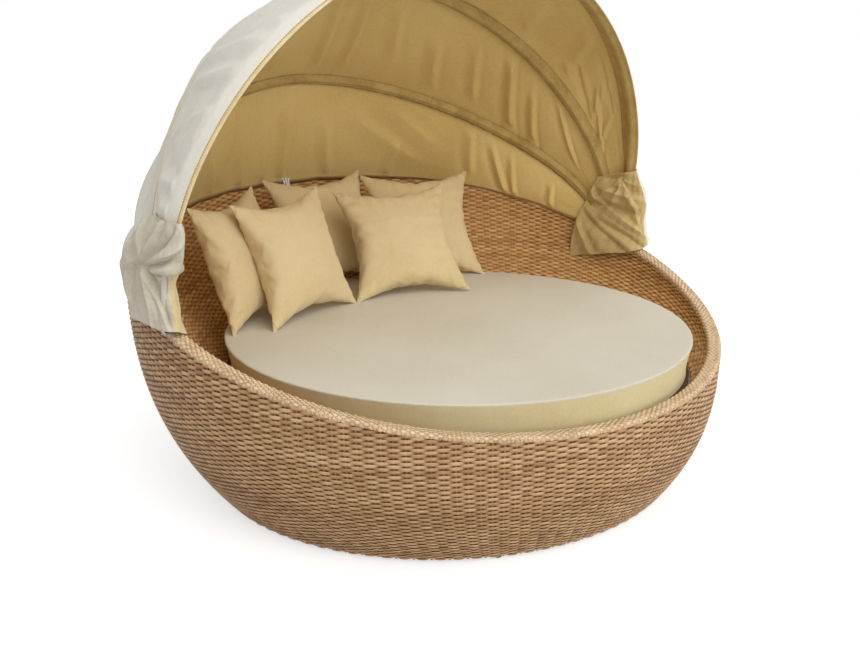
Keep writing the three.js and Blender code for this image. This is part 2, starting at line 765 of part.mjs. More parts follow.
// Canopy cloth: ruled between the bows, with the main folds running up each panel
function panelSweep(share) {
  return lerp(PANEL_END_SHARE, 1 - PANEL_END_SHARE, share) * Math.PI;
}

function foldShift(sweepShare, rowShare) {
  const swell = 4 * rowShare * (1 - rowShare);
  return CLOTH_FOLD_DEPTH * swell * Math.sin(sweepShare * FOLD_COUNT * 2 * Math.PI);
}

function panelBody(lowerAt, upperAt, foldScale) {
  const grid = (extra) => shares(PANEL_ROWS).map((row) => {
    const along = lerp(PANEL_EDGE_SHARE, 1 - PANEL_EDGE_SHARE, row);
    return shares(BOW_STATIONS).map((share) => {
      const fold = foldScale * foldShift(share, row);
      const lower = lowerAt(share, extra - fold);
      return lower.lerp(upperAt(share, extra - fold), along);
    });
  });
  return sheetBody(grid(CLOTH_WALL), grid(0));
}

function onBow(bow) {
  return (share, extra) => bowPoint(bow, panelSweep(share), bow.cloth + extra);
}

// The seam of the visor lies on the span from the middle bow to the front bow, bowed out a little
function onSeam(share, extra) {
  const sweep = panelSweep(share);
  const from = bowPoint(MID_BOW, sweep, MID_BOW.cloth + extra);
  const to = bowPoint(FRONT_BOW, sweep, FRONT_BOW.cloth + extra);
  const seam = from.lerp(to, SEAM_SHARE);
  const outward = seam.clone().sub(point(0, PIVOT_BACK, pivotHeight)).normalize();
  return seam.addScaledVector(outward, SEAM_RISE * Math.sin(sweep));
}

function rimEdge(share, extra, below) {
  const turn = Math.PI / 2 - panelSweep(share);
  return rimPoint(turn, -CLOTH_RIM_GAP - extra, below);
}

function canopyBack() {
  const upper = onBow(REAR_BOW);
  const grid = (extra) => {
    const hem = [CLOTH_RIM_LAP, 0, -CLOTH_RIM_RISE].map((below) => (
      shares(BOW_STATIONS).map((share) => rimEdge(share, extra, below))
    ));
    const rise = shares(PANEL_ROWS).slice(1).map((row) => (
      shares(BOW_STATIONS).map((share) => {
        const fold = foldShift(share, row);
        const lower = rimEdge(share, extra - fold, -CLOTH_RIM_RISE);
        return lower.lerp(upper(share, extra - fold), row * (1 - PANEL_EDGE_SHARE));
      })
    ));
    return [...hem, ...rise];
  };
  return sheetBody(grid(CLOTH_WALL), grid(0));
}

function canopyVisor() {
  const front = onBow(FRONT_BOW);
  const grid = (extra) => {
    const span = shares(3).map((row) => (
      shares(BOW_STATIONS).map((share) => (
        onSeam(share, extra).lerp(front(share, extra), lerp(PANEL_EDGE_SHARE, 1, row))
      ))
    ));
    const hem = shares(BOW_STATIONS).map((share) => {
      const reach = bowPlace(FRONT_BOW, panelSweep(share), 0).reach;
      const turn = Math.min(HEM_FORWARD / reach, 1) / DEG;
      return bowPoint(FRONT_BOW, panelSweep(share), FRONT_BOW.cloth + extra, turn);
    });
    return [...span, hem];
  };
  return sheetBody(grid(CLOTH_WALL), grid(0));
}

// Corner flap: gathered cloth that hangs inside the rim, turns in front of the pivot and
// laps over the rim outside
function cornerFlap(hand) {
  const outerX = stackOuter + BOLT_HEAD_HEIGHT + FLAP_SIDE_GAP;
  const rimTopAt = (y) => rimHeight(Math.acos(y / rimHalfY)) + RIM_SEAT_GAP;
  const innerLow = pivotHeight - FLAP_INNER_DROP;
  const outerLow = pivotHeight - FLAP_OUTER_DROP;
  const wallXAt = (y) => {
    const turn = Math.acos(y / rimHalfY);
    const share = (innerLow - innerWallBottom) / (rimHeight(turn) - RIM_LIP_DEPTH - innerWallBottom);
    return innerWallPoint(turn, share, 0).x - FLAP_WALL_GAP;
  };
  const yAt = (share) => lerp(PIVOT_BACK - FLAP_FRONT, PIVOT_BACK + FLAP_BACK, share);
  const middleX = (wallXAt(yAt(0)) + outerX) / 2;
  const inner = FLAP_HANG_SHARES.map((share) => ({ x: wallXAt(yAt(share)), y: yAt(share), low: innerLow }));
  const outer = FLAP_HANG_SHARES.map((share) => ({ x: outerX, y: yAt(share), low: outerLow })).reverse();
  const bend = FLAP_BEND_SHARES.map(({ across, back }) => ({
    x: middleX + (across * (outerX - wallXAt(yAt(0)))) / 2,
    y: yAt(back),
    low: rimTopAt(yAt(back)),
  }));
  const route = [...inner, ...bend, ...outer];
  const grid = (side) => shares(FLAP_ROWS).map((rise) => (
    route.map((at, index) => {
      const before = route[Math.max(index - 1, 0)];
      const after = route[Math.min(index + 1, route.length - 1)];
      const along = point(after.x - before.x, after.y - before.y, 0).normalize();
      const out = point(-along.y, along.x, 0);
      const wave = (index % 2) * FLAP_FOLD_DEPTH * rise * (1 - rise) * 4;
      const on = point(at.x, at.y, lerp(at.low, pivotHeight + FLAP_TOP_RISE, rise));
      on.addScaledVector(out, (side * CLOTH_WALL) / 2 - wave);
      return point(hand * on.x, on.y, on.z);
    })
  ));
  return sheetBody(grid(1), grid(-1));
}

// Tie strap at the middle of the back, from inside the bowl over the rim to the hem
function tieStrap() {
  const reach = RIM_SEAT_GAP + TIE_WALL;
  const route = (offset) => [
    rimPoint(0, RIM_BAND + offset, TIE_DROP),
    rimPoint(0, RIM_BAND + offset, -offset),
    rimPoint(0, -offset, -offset),
    rimPoint(0, -offset, RIM_LIP_DEPTH),
  ];
  const near = route(RIM_SEAT_GAP);
  const far = route(reach);
  return runBody(near.map((low, index) => {
    const high = far[index];
    const half = TIE_WIDTH / 2;
    return [
      point(-half, low.y, low.z),
      point(half, low.y, low.z),
      point(half, high.y, high.z),
      point(-half, high.y, high.z),
    ];
  }));
}

function material(color, roughness, metalness) {
  return () => new THREE.MeshStandardMaterial({ color, roughness, metalness });
}

const tubeFinish = material(0x8f9094, 0.5, 0.7);
const weaveFinish = material(0xb88a5c, 0.6, 0);
const braidFinish = material(0xc39a70, 0.6, 0);
const deckFinish = material(0x6b5138, 0.8, 0);
const glideFinish = material(0x2b2b2b, 0.7, 0);
const coverFinish = material(0xd0c19a, 0.9, 0);
const foamFinish = material(0xe6dfc8, 0.95, 0);
const zipFinish = material(0xc8b98c, 0.6, 0);
const pillowFinish = material(0xcbb280, 0.9, 0);
const bowFinish = material(0xa9a49a, 0.45, 0.6);
const steelFinish = material(0x9da0a3, 0.35, 0.9);
const spacerFinish = material(0x2f2f31, 0.6, 0);
const clothFinish = material(0xd9d1b8, 0.9, 0);

const daybed = new THREE.Group();
const screwHoles = [screwHole(-1), screwHole(1)];

function addNode(name, geometry, finish) {
  const mesh = new THREE.Mesh(geometry, finish());
  mesh.name = name;
  daybed.add(mesh);
}

addNode('base_ring_tube', baseTube(0), tubeFinish);
addNode('deck_ring_tube', deckTube(0), tubeFinish);
addNode('rim_ring_tube', cutBy(rimTube(0), ...screwHoles), tubeFinish);
for (let k = 0; k < RIB_COUNT; k += 1) {
  addNode(`wall_rib_${k + 1}`, wallRib(((k + 0.5) * 2 * Math.PI) / RIB_COUNT), tubeFinish);
}
for (let k = 0; k < LEG_COUNT; k += 1) {
  const turn = ((k + 0.5) * 2 * Math.PI) / LEG_COUNT;
  addNode(`deck_leg_${k + 1}`, deckLeg(turn), tubeFinish);
  addNode(`glide_${k + 1}`, glide(turn), glideFinish);
}
DECK_BEAM_SHARES.forEach((share, k) => {
  addNode(`deck_beam_${k + 1}`, deckBeam(share), tubeFinish);
});
addNode('seat_deck', seatDeck(), deckFinish);
addNode('outer_weave', outerWeave(), weaveFinish);
addNode('inner_weave', innerWeave(), weaveFinish);
addNode('rim_braid', cutBy(rimBraid(), ...screwHoles), braidFinish);
addNode('mattress_cover', mattressCover(), coverFinish);
addNode('mattress_foam', mattressFoam(), foamFinish);
addNode('mattress_zip', zipSlot(0), zipFinish);

const standing = [toSolid(innerWeave()), toSolid(rimBraid())];
PILLOW_PLACES.forEach((place, k) => {
  const geometry = leanedPillow(place, standing);
  standing.push(toSolid(geometry));
  addNode(`pillow_${k + 1}`, geometry, pillowFinish);
});

addNode('bow_rear', canopyBow(REAR_BOW), bowFinish);
addNode('bow_mid', canopyBow(MID_BOW), bowFinish);
addNode('bow_front', canopyBow(FRONT_BOW), bowFinish);
[['left', -1], ['right', 1]].forEach(([side, hand]) => {
  addNode(`pivot_bracket_${side}`, pivotBracket(hand), steelFinish);
  addNode(`bracket_screw_${side}`, bracketScrew(hand), steelFinish);
  addNode(`pivot_bolt_${side}`, pivotBolt(hand), steelFinish);
  addNode(`pivot_nut_${side}`, pivotNut(hand), steelFinish);
  addNode(`pivot_spacer_${side}_inner`, pivotSpacer(hand, REAR_BOW), spacerFinish);
  addNode(`pivot_spacer_${side}_outer`, pivotSpacer(hand, MID_BOW), spacerFinish);
  addNode(`corner_flap_${side}`, cornerFlap(hand), clothFinish);
});
addNode('canopy_back', canopyBack(), clothFinish);
addNode('canopy_middle', panelBody(onBow(REAR_BOW), onBow(MID_BOW), 1), clothFinish);
addNode('canopy_front', panelBody(onBow(MID_BOW), onSeam, 1), clothFinish);
addNode('canopy_visor', canopyVisor(), clothFinish);
addNode('tie_strap', tieStrap(), clothFinish);

// The bed is centred front to back between the front of the rim and the hem behind it
daybed.position.y = -(CLOTH_RIM_GAP + CLOTH_WALL) / 2;

export default daybed;
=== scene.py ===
import bpy
import math
import numpy as np
from mathutils import Matrix, Vector, noise


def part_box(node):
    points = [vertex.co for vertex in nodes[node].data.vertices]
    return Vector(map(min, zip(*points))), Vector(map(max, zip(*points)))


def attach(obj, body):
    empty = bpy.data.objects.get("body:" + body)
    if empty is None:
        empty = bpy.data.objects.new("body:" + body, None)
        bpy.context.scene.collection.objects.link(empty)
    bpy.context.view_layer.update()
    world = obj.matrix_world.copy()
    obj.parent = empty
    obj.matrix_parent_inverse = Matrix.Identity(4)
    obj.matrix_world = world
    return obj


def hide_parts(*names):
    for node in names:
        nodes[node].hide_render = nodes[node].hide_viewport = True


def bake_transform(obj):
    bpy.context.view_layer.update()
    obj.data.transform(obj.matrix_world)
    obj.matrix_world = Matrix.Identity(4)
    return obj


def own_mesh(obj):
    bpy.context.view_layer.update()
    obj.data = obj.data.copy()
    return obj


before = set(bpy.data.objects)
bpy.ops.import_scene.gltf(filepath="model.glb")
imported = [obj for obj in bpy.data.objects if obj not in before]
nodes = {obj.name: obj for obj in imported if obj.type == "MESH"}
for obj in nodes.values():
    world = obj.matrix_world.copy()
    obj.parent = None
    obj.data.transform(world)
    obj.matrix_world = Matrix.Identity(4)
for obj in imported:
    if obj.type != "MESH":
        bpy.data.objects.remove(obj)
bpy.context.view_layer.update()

print("frame loaded")

# Sizes shared by the bowl, the mattress and the canopy, in metres
bed = dict(halfX=1.060, halfY=1.000, baseX=0.820, baseY=0.775, baseShift=0.090,
           shiftY=-0.004, wallPower=2.68, innerPower=1.8, band=0.048, lip=0.0303,
           deckLow=0.390, deckOpening=0.802, deckForward=0.140,
           pivotY=0.010, pivotZ=0.70962)


def stacked(*parts):
    return np.stack(parts, -1)


def rimHeight(turn):
    return 0.672 + 0.246045 * np.cos(turn) - 0.006 * np.cos(2 * turn) - 0.011045 * np.cos(3 * turn)


def outwardAt(turn, halfX, halfY):
    way = stacked(np.sin(turn) / halfX, np.cos(turn) / halfY, 0 * turn)
    return way / np.linalg.norm(way, axis=-1, keepdims=True)


def wallPoint(turn, height, depth):  # outer wall, depth measured square to it
    rim = rimHeight(turn)
    share = np.clip(height / rim, 0, 1)
    fill = 1 - (1 - share) ** bed["wallPower"]
    halfX = bed["baseX"] + (bed["halfX"] - bed["baseX"]) * fill
    halfY = bed["baseY"] + (bed["halfY"] - bed["baseY"]) * fill
    rate = bed["wallPower"] * (1 - share) ** (bed["wallPower"] - 1) / rim
    out = outwardAt(turn, halfX, halfY)
    lean = ((bed["halfX"] - bed["baseX"]) * np.sin(turn) * out[..., 0]
            + (bed["baseShift"] + (bed["halfY"] - bed["baseY"]) * np.cos(turn)) * out[..., 1]) * rate
    on = stacked(halfX * np.sin(turn), halfY * np.cos(turn) - bed["baseShift"] * (1 - fill) + bed["shiftY"],
                   height + 0 * turn)
    return on - out * (depth * np.hypot(1, lean))[..., None]


def rimPoint(turn, depth, below):
    on = stacked(bed["halfX"] * np.sin(turn), bed["halfY"] * np.cos(turn) + bed["shiftY"],
                   rimHeight(turn) - below)
    return on - outwardAt(turn, bed["halfX"], bed["halfY"]) * np.asarray(depth + 0 * turn)[..., None]


def innerWallPoint(turn, height, depth):  # seat side of the inner wall, depth goes outwards
    top = rimHeight(turn) - bed["lip"]
    share = np.clip((height - bed["deckLow"]) / (top - bed["deckLow"]), 0, 1)
    fill = (1 - (1 - share) ** bed["innerPower"])[..., None]
    low = stacked(bed["deckOpening"] * np.sin(turn),
                    bed["deckOpening"] * np.cos(turn) - bed["deckForward"] + bed["shiftY"], 0 * turn)
    high = rimPoint(turn, bed["band"], bed["lip"])
    on = low + (high - low) * fill
    on[..., 2] = height
    return on + outwardAt(turn, bed["halfX"], bed["halfY"]) * np.asarray(depth + 0 * turn)[..., None]


# Making and shaping grids
def onlyThis(obj):
    bpy.ops.object.select_all(action="DESELECT")
    obj.select_set(True)
    bpy.context.view_layer.objects.active = obj


def copyOf(obj):
    onlyThis(obj)
    bpy.ops.object.duplicate()
    return bpy.context.object


def removeThis(obj):
    onlyThis(obj)
    bpy.ops.object.delete()


def inEdit(obj, operation, **values):  # runs a mesh operation on all of an object
    onlyThis(obj)
    bpy.ops.object.mode_set(mode="EDIT")
    bpy.ops.mesh.select_mode(type="VERT")
    bpy.ops.mesh.select_all(action="SELECT")
    operation(**values)
    bpy.ops.object.mode_set(mode="OBJECT")


def pulled(items, key, size=1, kind=np.float32):
    values = np.empty(len(items) * size, kind)
    items.foreach_get(key, values)
    return values


def setMaterials(obj, *made):
    obj.data.materials.clear()
    for one in made:
        obj.data.materials.append(one)


# place(i, j) gives points, uv and a dictionary of values for every vertex; dress(i, j) a finish for every face
def gridPiece(name, columns, rows, place, keep=None, flip=False, weld=0.0, finishes=(), dress=None):
    bpy.ops.object.select_all(action="DESELECT")
    bpy.ops.mesh.primitive_grid_add(x_subdivisions=columns, y_subdivisions=rows, size=2)
    obj = bpy.context.object
    obj.name = obj.data.name = name
    mesh = obj.data
    flat = pulled(mesh.vertices, "co", 3).reshape(-1, 3)
    i = np.rint((flat[:, 0] + 1) / 2 * columns).astype(int)
    j = np.rint((flat[:, 1] + 1) / 2 * rows).astype(int)
    points, uv, values = place(i, j)
    setPoints(obj, points)
    loops = pulled(mesh.loops, "vertex_index", kind=np.int32)
    mesh.uv_layers.active.data.foreach_set("uv", uv[loops].astype(np.float32).ravel())
    for key, value in values.items():
        layer = mesh.attributes.new(key, "FLOAT", "POINT")
        layer.data.foreach_set("value", value.astype(np.float32))
    corners = loops.reshape(-1, 4)
    faceI, faceJ = i[corners].min(1), j[corners].min(1)
    setMaterials(obj, *finishes)
    if dress is not None:
        mesh.polygons.foreach_set("material_index", dress(faceI, faceJ).astype(np.int32))
    if keep is not None:
        bpy.ops.object.mode_set(mode="EDIT")
        bpy.ops.mesh.select_mode(type="FACE")
        bpy.ops.mesh.select_all(action="DESELECT")
        bpy.ops.object.mode_set(mode="OBJECT")
        mesh.polygons.foreach_set("select", ~keep(faceI, faceJ))
        bpy.ops.object.mode_set(mode="EDIT")
        bpy.ops.mesh.delete(type="FACE")
        bpy.ops.object.mode_set(mode="OBJECT")
    if weld:
        inEdit(obj, bpy.ops.mesh.remove_doubles, threshold=weld)
    if flip:
        inEdit(obj, bpy.ops.mesh.flip_normals)
    onlyThis(obj)
    bpy.ops.object.shade_smooth()
    mesh.update()
    return obj


def applied(obj, kind, **values):
    onlyThis(obj)
    modifier = obj.modifiers.new(kind.lower(), kind)
    for key, value in values.items():
        setattr(modifier, key, value)
    bpy.ops.object.modifier_apply(modifier=modifier.name)


def meshPoints(obj):
    return pulled(obj.data.vertices, "co", 3).reshape(-1, 3).astype(float)


def setPoints(obj, points):
    obj.data.vertices.foreach_set("co", np.asarray(points, np.float32).ravel())
    obj.data.update()


def joinAll(name, parts):
    onlyThis(parts[0])
    for part in parts[1:]:
        part.select_set(True)
    bpy.ops.object.join()
    parts[0].name = parts[0].data.name = name
    return parts[0]


def onBed(made, finish, node):
    setMaterials(made, finish)
    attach(made, "bed"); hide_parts(node)


def waves(seed, count, low, high):  # a smooth random curve as a sum of sines
    rng = np.random.default_rng(seed)
    parts = [(rng.uniform(low, high), rng.uniform(0, 2 * math.pi), rng.uniform(0.5, 1)) for _ in range(count)]
    total = sum(size for _, _, size in parts)
    return lambda x: sum(size * np.sin(rate * x + phase) for rate, phase, size in parts) / total


# Materials
def feed(tree, socket, value):  # links a socket, or sets a value
    if isinstance(value, bpy.types.NodeSocket):
        tree.links.new(value, socket)
    else:
        socket.default_value = value


def addNode(tree, kind, inputs=None, **values):
    node = tree.nodes.new("ShaderNode" + kind)
    for key, value in values.items():
        setattr(node, key, value)
    for key, value in (inputs or {}).items():
        feed(tree, node.inputs[key], value)
    return node


def newMaterial(name, roughness=0.8, **values):
    made = bpy.data.materials.new(name)
    made.use_nodes = True
    shader = made.node_tree.nodes["Principled BSDF"]
    shader.inputs["Roughness"].default_value = roughness
    for key, value in values.items():
        shader.inputs[key.replace("_", " ")].default_value = value
    return made, made.node_tree, shader


def colour(shade):  # from an 0 to 255 colour to Blender's linear one
    def line(value):
        value /= 255
        return value / 12.92 if value <= 0.04045 else ((value + 0.055) / 1.055) ** 2.4
    return tuple(line(value) for value in shade) + (1,)


def grey(value):
    return (value,) * 3 + (1,)


def ramp(tree, factor, stops):
    node = addNode(tree, "ValToRGB", {"Fac": factor})
    band = node.color_ramp
    while len(band.elements) < len(stops):
        band.elements.new(0.5)
    for element, (place, shade) in zip(band.elements, stops):
        element.position = place
        element.color = shade
    return node.outputs["Color"]


def tinted(tree, first, second):  # one colour times the other
    node = addNode(tree, "Mix", data_type="RGBA", blend_type="MULTIPLY")
    for slot, value in ((0, 1.0), (6, first), (7, second)):
        feed(tree, node.inputs[slot], value)
    return node.outputs[2]


def mathOf(tree, kind, first, second):
    node = addNode(tree, "Math", operation=kind)
    for socket, value in zip(node.inputs, (first, second)):
        feed(tree, socket, value)
    return node.outputs[0]


def weighted(tree, *terms):  # the sum of sockets, each times its weight
    parts = [mathOf(tree, "MULTIPLY", socket, weight) for socket, weight in terms]
    total = parts[0]
    for part in parts[1:]:
        total = mathOf(tree, "ADD", total, part)
    return total


def noiseOf(tree, place, scale, detail=3.0, **more):
    return addNode(tree, "TexNoise", {"Vector": place, "Scale": scale, "Detail": detail, **more}).outputs["Fac"]


def factorOf(tree, key):  # a value that the mesh carries
    return addNode(tree, "Attribute", attribute_name=key).outputs["Fac"]


def setBump(tree, shader, height, strength, distance, under=None):
    bump = addNode(tree, "Bump", {"Height": height, "Strength": strength, "Distance": distance})
    if under is not None:
        tree.links.new(under.outputs["Normal"], bump.inputs["Normal"])
    tree.links.new(bump.outputs["Normal"], shader.inputs["Normal"])
    return bump


# gap is a painted shadow colour for the hollows in the weave
def wickerFinish(name, light, middle, dark, gap):
    made, tree, shader = newMaterial(name, 0.55, Specular_IOR_Level=0.35)
    place = addNode(tree, "TexCoord").outputs
    streak, speck = noiseOf(tree, place["Object"], 26.0), noiseOf(tree, place["Object"], 210.0, 2.0)
    spread = weighted(tree, (streak, 0.55), (speck, 0.45), (factorOf(tree, "tone"), 0.22))
    base = ramp(tree, spread, [(0.28, colour(dark)), (0.5, colour(middle)), (0.74, colour(light))])
    # painted shade: the shade attribute darkens the colour where strands pass behind, at strand edges and on the
    # stakes, down to the painted shadow colour
    paintedShade = ramp(tree, factorOf(tree, "shade"),
                [(0.0, grey(1)), (0.28, (0.90, 0.88, 0.86, 1)), (0.6, (0.72, 0.68, 0.64, 1)),
                 (0.85, [1.5 * value for value in gap] + [1]), (1.0, gap + (1,))])
    feed(tree, shader.inputs["Base Color"], tinted(tree, base, paintedShade))
    lines = addNode(tree, "TexWave", {"Vector": place["UV"], "Scale": 190.0, "Distortion": 0.6},
                    bands_direction="Y").outputs["Fac"]
    feed(tree, shader.inputs["Roughness"], ramp(tree, speck, [(0.3, grey(0.42)), (0.7, grey(0.68))]))
    setBump(tree, shader, weighted(tree, (lines, 0.5), (speck, 1.0)), 0.35, 0.0006)
    return made


def clothFinish(name, light, middle, dark, thread=0.0013, sheen=0.1, bump=0.25, wide=2.3, crumple=0.0,
                gloss=(0.8, 0.95), line=None):
    made, tree, shader = newMaterial(name, 0.88, Sheen_Weight=sheen, Specular_IOR_Level=0.2)
    place = addNode(tree, "TexCoord").outputs
    broad = noiseOf(tree, place["Object"], wide, Roughness=0.55)
    slub = noiseOf(tree, place["Object"], 95.0)
    warp, weft = (addNode(tree, "TexWave", {"Vector": place["UV"], "Scale": math.pi / (thread * 20),
                                            "Distortion": 0.5, "Detail": 1.0}, bands_direction=way).outputs["Fac"]
                  for way in ("X", "Y"))
    threads = mathOf(tree, "MULTIPLY", warp, weft)
    base = ramp(tree, weighted(tree, (broad, 0.62), (slub, 0.38)),
                [(0.33, colour(dark)), (0.5, colour(middle)), (0.67, colour(light))])
    shown = tinted(tree, base, ramp(tree, threads, [(0.0, (0.93, 0.92, 0.9, 1)), (0.6, grey(1))]))
    if line:  # a seam is a darker line where the piece's seam attribute is near 1
        sewn = ramp(tree, factorOf(tree, "seam"), [(0.0, grey(1)), (0.25, grey(1)), (1.0, line)])
        shown = tinted(tree, shown, sewn)
    feed(tree, shader.inputs["Base Color"], shown)
    feed(tree, shader.inputs["Roughness"], ramp(tree, slub, [(0.3, grey(gloss[0])), (0.7, grey(gloss[1]))]))
    under = None
    if crumple:
        under = setBump(tree, shader, noiseOf(tree, place["Object"], 9.0, 2.0, Distortion=0.9), crumple, 0.012)
    setBump(tree, shader, weighted(tree, (threads, 1.0), (slub, 0.6)), bump, 0.0005, under)
    return made


def metalFinish(name, light, dark, metallic, roughness, scale=60.0):
    made, tree, shader = newMaterial(name, roughness, Metallic=metallic)
    place = addNode(tree, "TexCoord").outputs["Object"]
    cloud, fine = noiseOf(tree, place, scale / 6), noiseOf(tree, place, scale * 8, 2.0)
    feed(tree, shader.inputs["Base Color"], ramp(tree, cloud, [(0.35, colour(dark)), (0.65, colour(light))]))
    worn = addNode(tree, "MapRange", {"Value": fine, "To Min": roughness - 0.08, "To Max": roughness + 0.1})
    feed(tree, shader.inputs["Roughness"], worn.outputs["Result"])
    setBump(tree, shader, fine, 0.2, 0.0002)
    return made


# Woven walls: flat strands over and under upright stakes, on a sheet painted in the shadow colour in place of the
# shaded hollow behind them
def weaveStrands(name, look, rowAt, spread, surface, keepAt, seed):
    perStake = 4
    count = look["stakes"] * perStake
    rng = np.random.default_rng(seed)
    rowTone = rng.normal(0, 1, len(rowAt))
    drift = [waves(seed + 7 * r + 1, 5, 3, 60) for r in range(len(rowAt))]
    crossing = np.array([-0.5, -0.2, 0.2, 0.5])
    rounding = np.array([1.0, 0.0, 0.0, 1.0])
    steps = np.array([0.125, 0.375, 0.625, 0.875])  # stakes away from the one the strand passes over

    def place(i, j):
        row, edge = j // 4, j % 4
        turn = 2 * math.pi * (i + 0.5) / count
        away = np.abs((((i + 0.5) / perStake + row + 1) % 2) - 1)
        height = np.interp(away, steps, look["heights"])
        depth = np.interp(away, steps, look["depths"]) + rounding[edge] * look["edgeBack"]
        along = rowAt[row] + crossing[edge] * height * spread[row]
        wobble = 0.04 * np.sin(17.0 * turn + 2.3 * row) + 0.03 * np.sin(41.0 * turn - 1.7 * row)
        points = surface(turn, along + wobble * look["heights"][0], depth)
        curve = np.zeros(len(i))
        for r in range(len(rowAt)):
            at = row == r
            curve[at] = drift[r](turn[at])
        tone = 0.45 * rowTone[row] + 0.8 * curve
        # painted shade: darker where the strand passes behind a stake, and along its edges
        shade = np.clip(np.interp(away, steps, look["shades"]) + 0.16 * rounding[edge], 0, 1)
        uv = stacked(turn, rowAt[row] + crossing[edge] * 0.012)
        return points, uv, dict(shade=shade, tone=tone)

    def keep(faceI, faceJ):
        turn = 2 * math.pi * (faceI + 1) / count
        return (faceJ % 4 != 3) & keepAt(turn, rowAt[faceJ // 4])

    return gridPiece(name, count, len(rowAt) * 4 - 1, place, keep, look["flip"], 1e-5)


def weaveStakes(name, look, lowAt, highAt, surface, rows):
    count = look["stakes"]

    def place(i, j):
        stake, edge = i // 3, i % 3
        middle = 2 * math.pi * stake / count
        turn = middle + (edge - 1) * look["stakeWidth"] / 2 / look["radius"]
        share = j / rows
        along = lowAt(middle) + (highAt(middle) - lowAt(middle)) * share
        depth = look["stakeDepth"] + np.abs(edge - 1) * 0.0016
        points = surface(turn, along, depth)
        tone = np.sin(stake * 12.9898) * 0.8
        # painted shade on the stakes, darker at their sides
        return points, stacked(along, turn), dict(shade=look["stakeShade"] + 0.3 * np.abs(edge - 1), tone=tone)

    def keep(faceI, faceJ):
        return faceI % 3 != 2

    return gridPiece(name, count * 3 - 1, rows, place, keep, look["flip"])


# a sheet in full painted shade behind the stakes and strands, standing in for the shadowed hollow of the wall
def weaveShadowSheet(name, look, lowAt, highAt, surface, rows):
    def place(i, j):
        turn = 2 * math.pi * i / 192
        along = lowAt(turn) + (highAt(turn) - lowAt(turn)) * j / rows
        points = surface(turn, along, look["backDepth"] + 0 * turn)
        return points, stacked(turn, along), dict(shade=np.ones(len(i)), tone=0.0 * turn)

    return gridPiece(name, 192, rows, place, None, look["flip"], 1e-5)


def weaveBehind(name, look, lowAt, highAt, surface, rows=14):
    return [step(name, look, lowAt, highAt, surface, rows) for step in (weaveStakes, weaveShadowSheet)]


# shades and stakeShade are levels of painted shade for the strands and the stakes
outerLook = dict(
    stakes=184, radius=1.0, rowPitch=0.0089, heights=[0.0116, 0.0112, 0.0096, 0.0088],
    depths=[0.0006, 0.0014, 0.0052, 0.0068], shades=[0.0, 0.14, 0.62, 1.0], edgeBack=0.0022, stakeWidth=0.0075,
    stakeDepth=0.0046, stakeShade=0.62, backDepth=0.0092, topDrop=0.0125, floorGap=0.006, split=0.322, flip=True)
innerLook = dict(
    stakes=210, radius=0.93, rowPitch=0.0093, heights=[0.0118, 0.0112, 0.0092, 0.0080],
    depths=[-0.0004, 0.0004, 0.0034, 0.0046], shades=[0.0, 0.14, 0.50, 0.92], edgeBack=0.0020, stakeWidth=0.0070,
    stakeDepth=0.0030, stakeShade=0.62, backDepth=0.0066, topDrop=0.0125, low=0.391, flip=False)
braidLook = dict(
    stakes=500, radius=1.03, rows=9, heights=[0.0092, 0.0086, 0.0072, 0.0066],
    depths=[-0.0008, -0.0002, 0.0014, 0.0020], shades=[0.0, 0.14, 0.50, 0.95], edgeBack=0.0010, stakeWidth=0.009,
    stakeDepth=0.0008, stakeShade=0.25, backDepth=0.0036, outerDrop=0.0165, corner=0.012, flip=True)


def rowHeights(low, high, pitch, leanAt):
    heights, cosines = [low], []
    while True:
        cosine = 1 / math.hypot(1, leanAt(heights[-1]))
        cosines.append(cosine)
        if heights[-1] + pitch * cosine > high:
            return np.array(heights), np.array(cosines)
        heights.append(heights[-1] + pitch * cosine)


# the last colour of each wicker finish is the painted shadow colour of its hollows
outerWicker = wickerFinish("outerWicker", (208, 172, 130), (187, 148, 105), (160, 121, 82),
                           (0.30, 0.21, 0.14))
innerWicker = wickerFinish("innerWicker", (228, 184, 125), (210, 163, 104), (186, 139, 84),
                           (0.34, 0.22, 0.12))
rimWicker = wickerFinish("rimWicker", (235, 209, 172), (220, 191, 152), (195, 164, 124),
                         (0.40, 0.31, 0.23))

outerRows, outerSpread = rowHeights(outerLook["floorGap"] + 0.006, 0.892, outerLook["rowPitch"],
                                    lambda z: 0.95 * max(0, 1 - z / 0.75) ** 1.68)
split = int(np.searchsorted(outerRows, outerLook["split"]))


def underRim(drop):
    return lambda turn, height: height < rimHeight(turn) - drop


def belowBraid(turn):  # stakes and the painted shadow sheet end inside the braid
    return rimHeight(turn) - 0.012


for part, start, end in (("outer_weave_low", 0, split), ("outer_weave_high", split, len(outerRows))):
    offset = start % 2
    rows = outerRows[start - offset:end]
    def keepAt(turn, height, low=outerRows[start] - 1e-6):
        return (height >= low) & underRim(outerLook["topDrop"])(turn, height)
    made = weaveStrands(part, outerLook, rows, outerSpread[start - offset:end], wallPoint, keepAt, 11 + start)
    onBed(made, outerWicker, "outer_weave")
behind = weaveBehind("outer_part", outerLook, lambda turn: outerLook["floorGap"] + 0 * turn, belowBraid, wallPoint)
onBed(joinAll("outer_weave_stakes", behind), outerWicker, "outer_weave")
print("outer weave done")

innerRows, innerSpread = rowHeights(0.395, 0.884, innerLook["rowPitch"],
                                    lambda z: 1.25 * max(0, 1 - (z - 0.39) / 0.42) ** 0.8)
strands = weaveStrands("inner_weave_strands", innerLook, innerRows, innerSpread, innerWallPoint,
                       underRim(innerLook["topDrop"]), 301)
onBed(strands, innerWicker, "inner_weave")
behind = weaveBehind("inner_part", innerLook, lambda turn: innerLook["low"] + 0 * turn, belowBraid, innerWallPoint)
onBed(joinAll("inner_weave_stakes", behind), innerWicker, "inner_weave")
print("inner weave done")


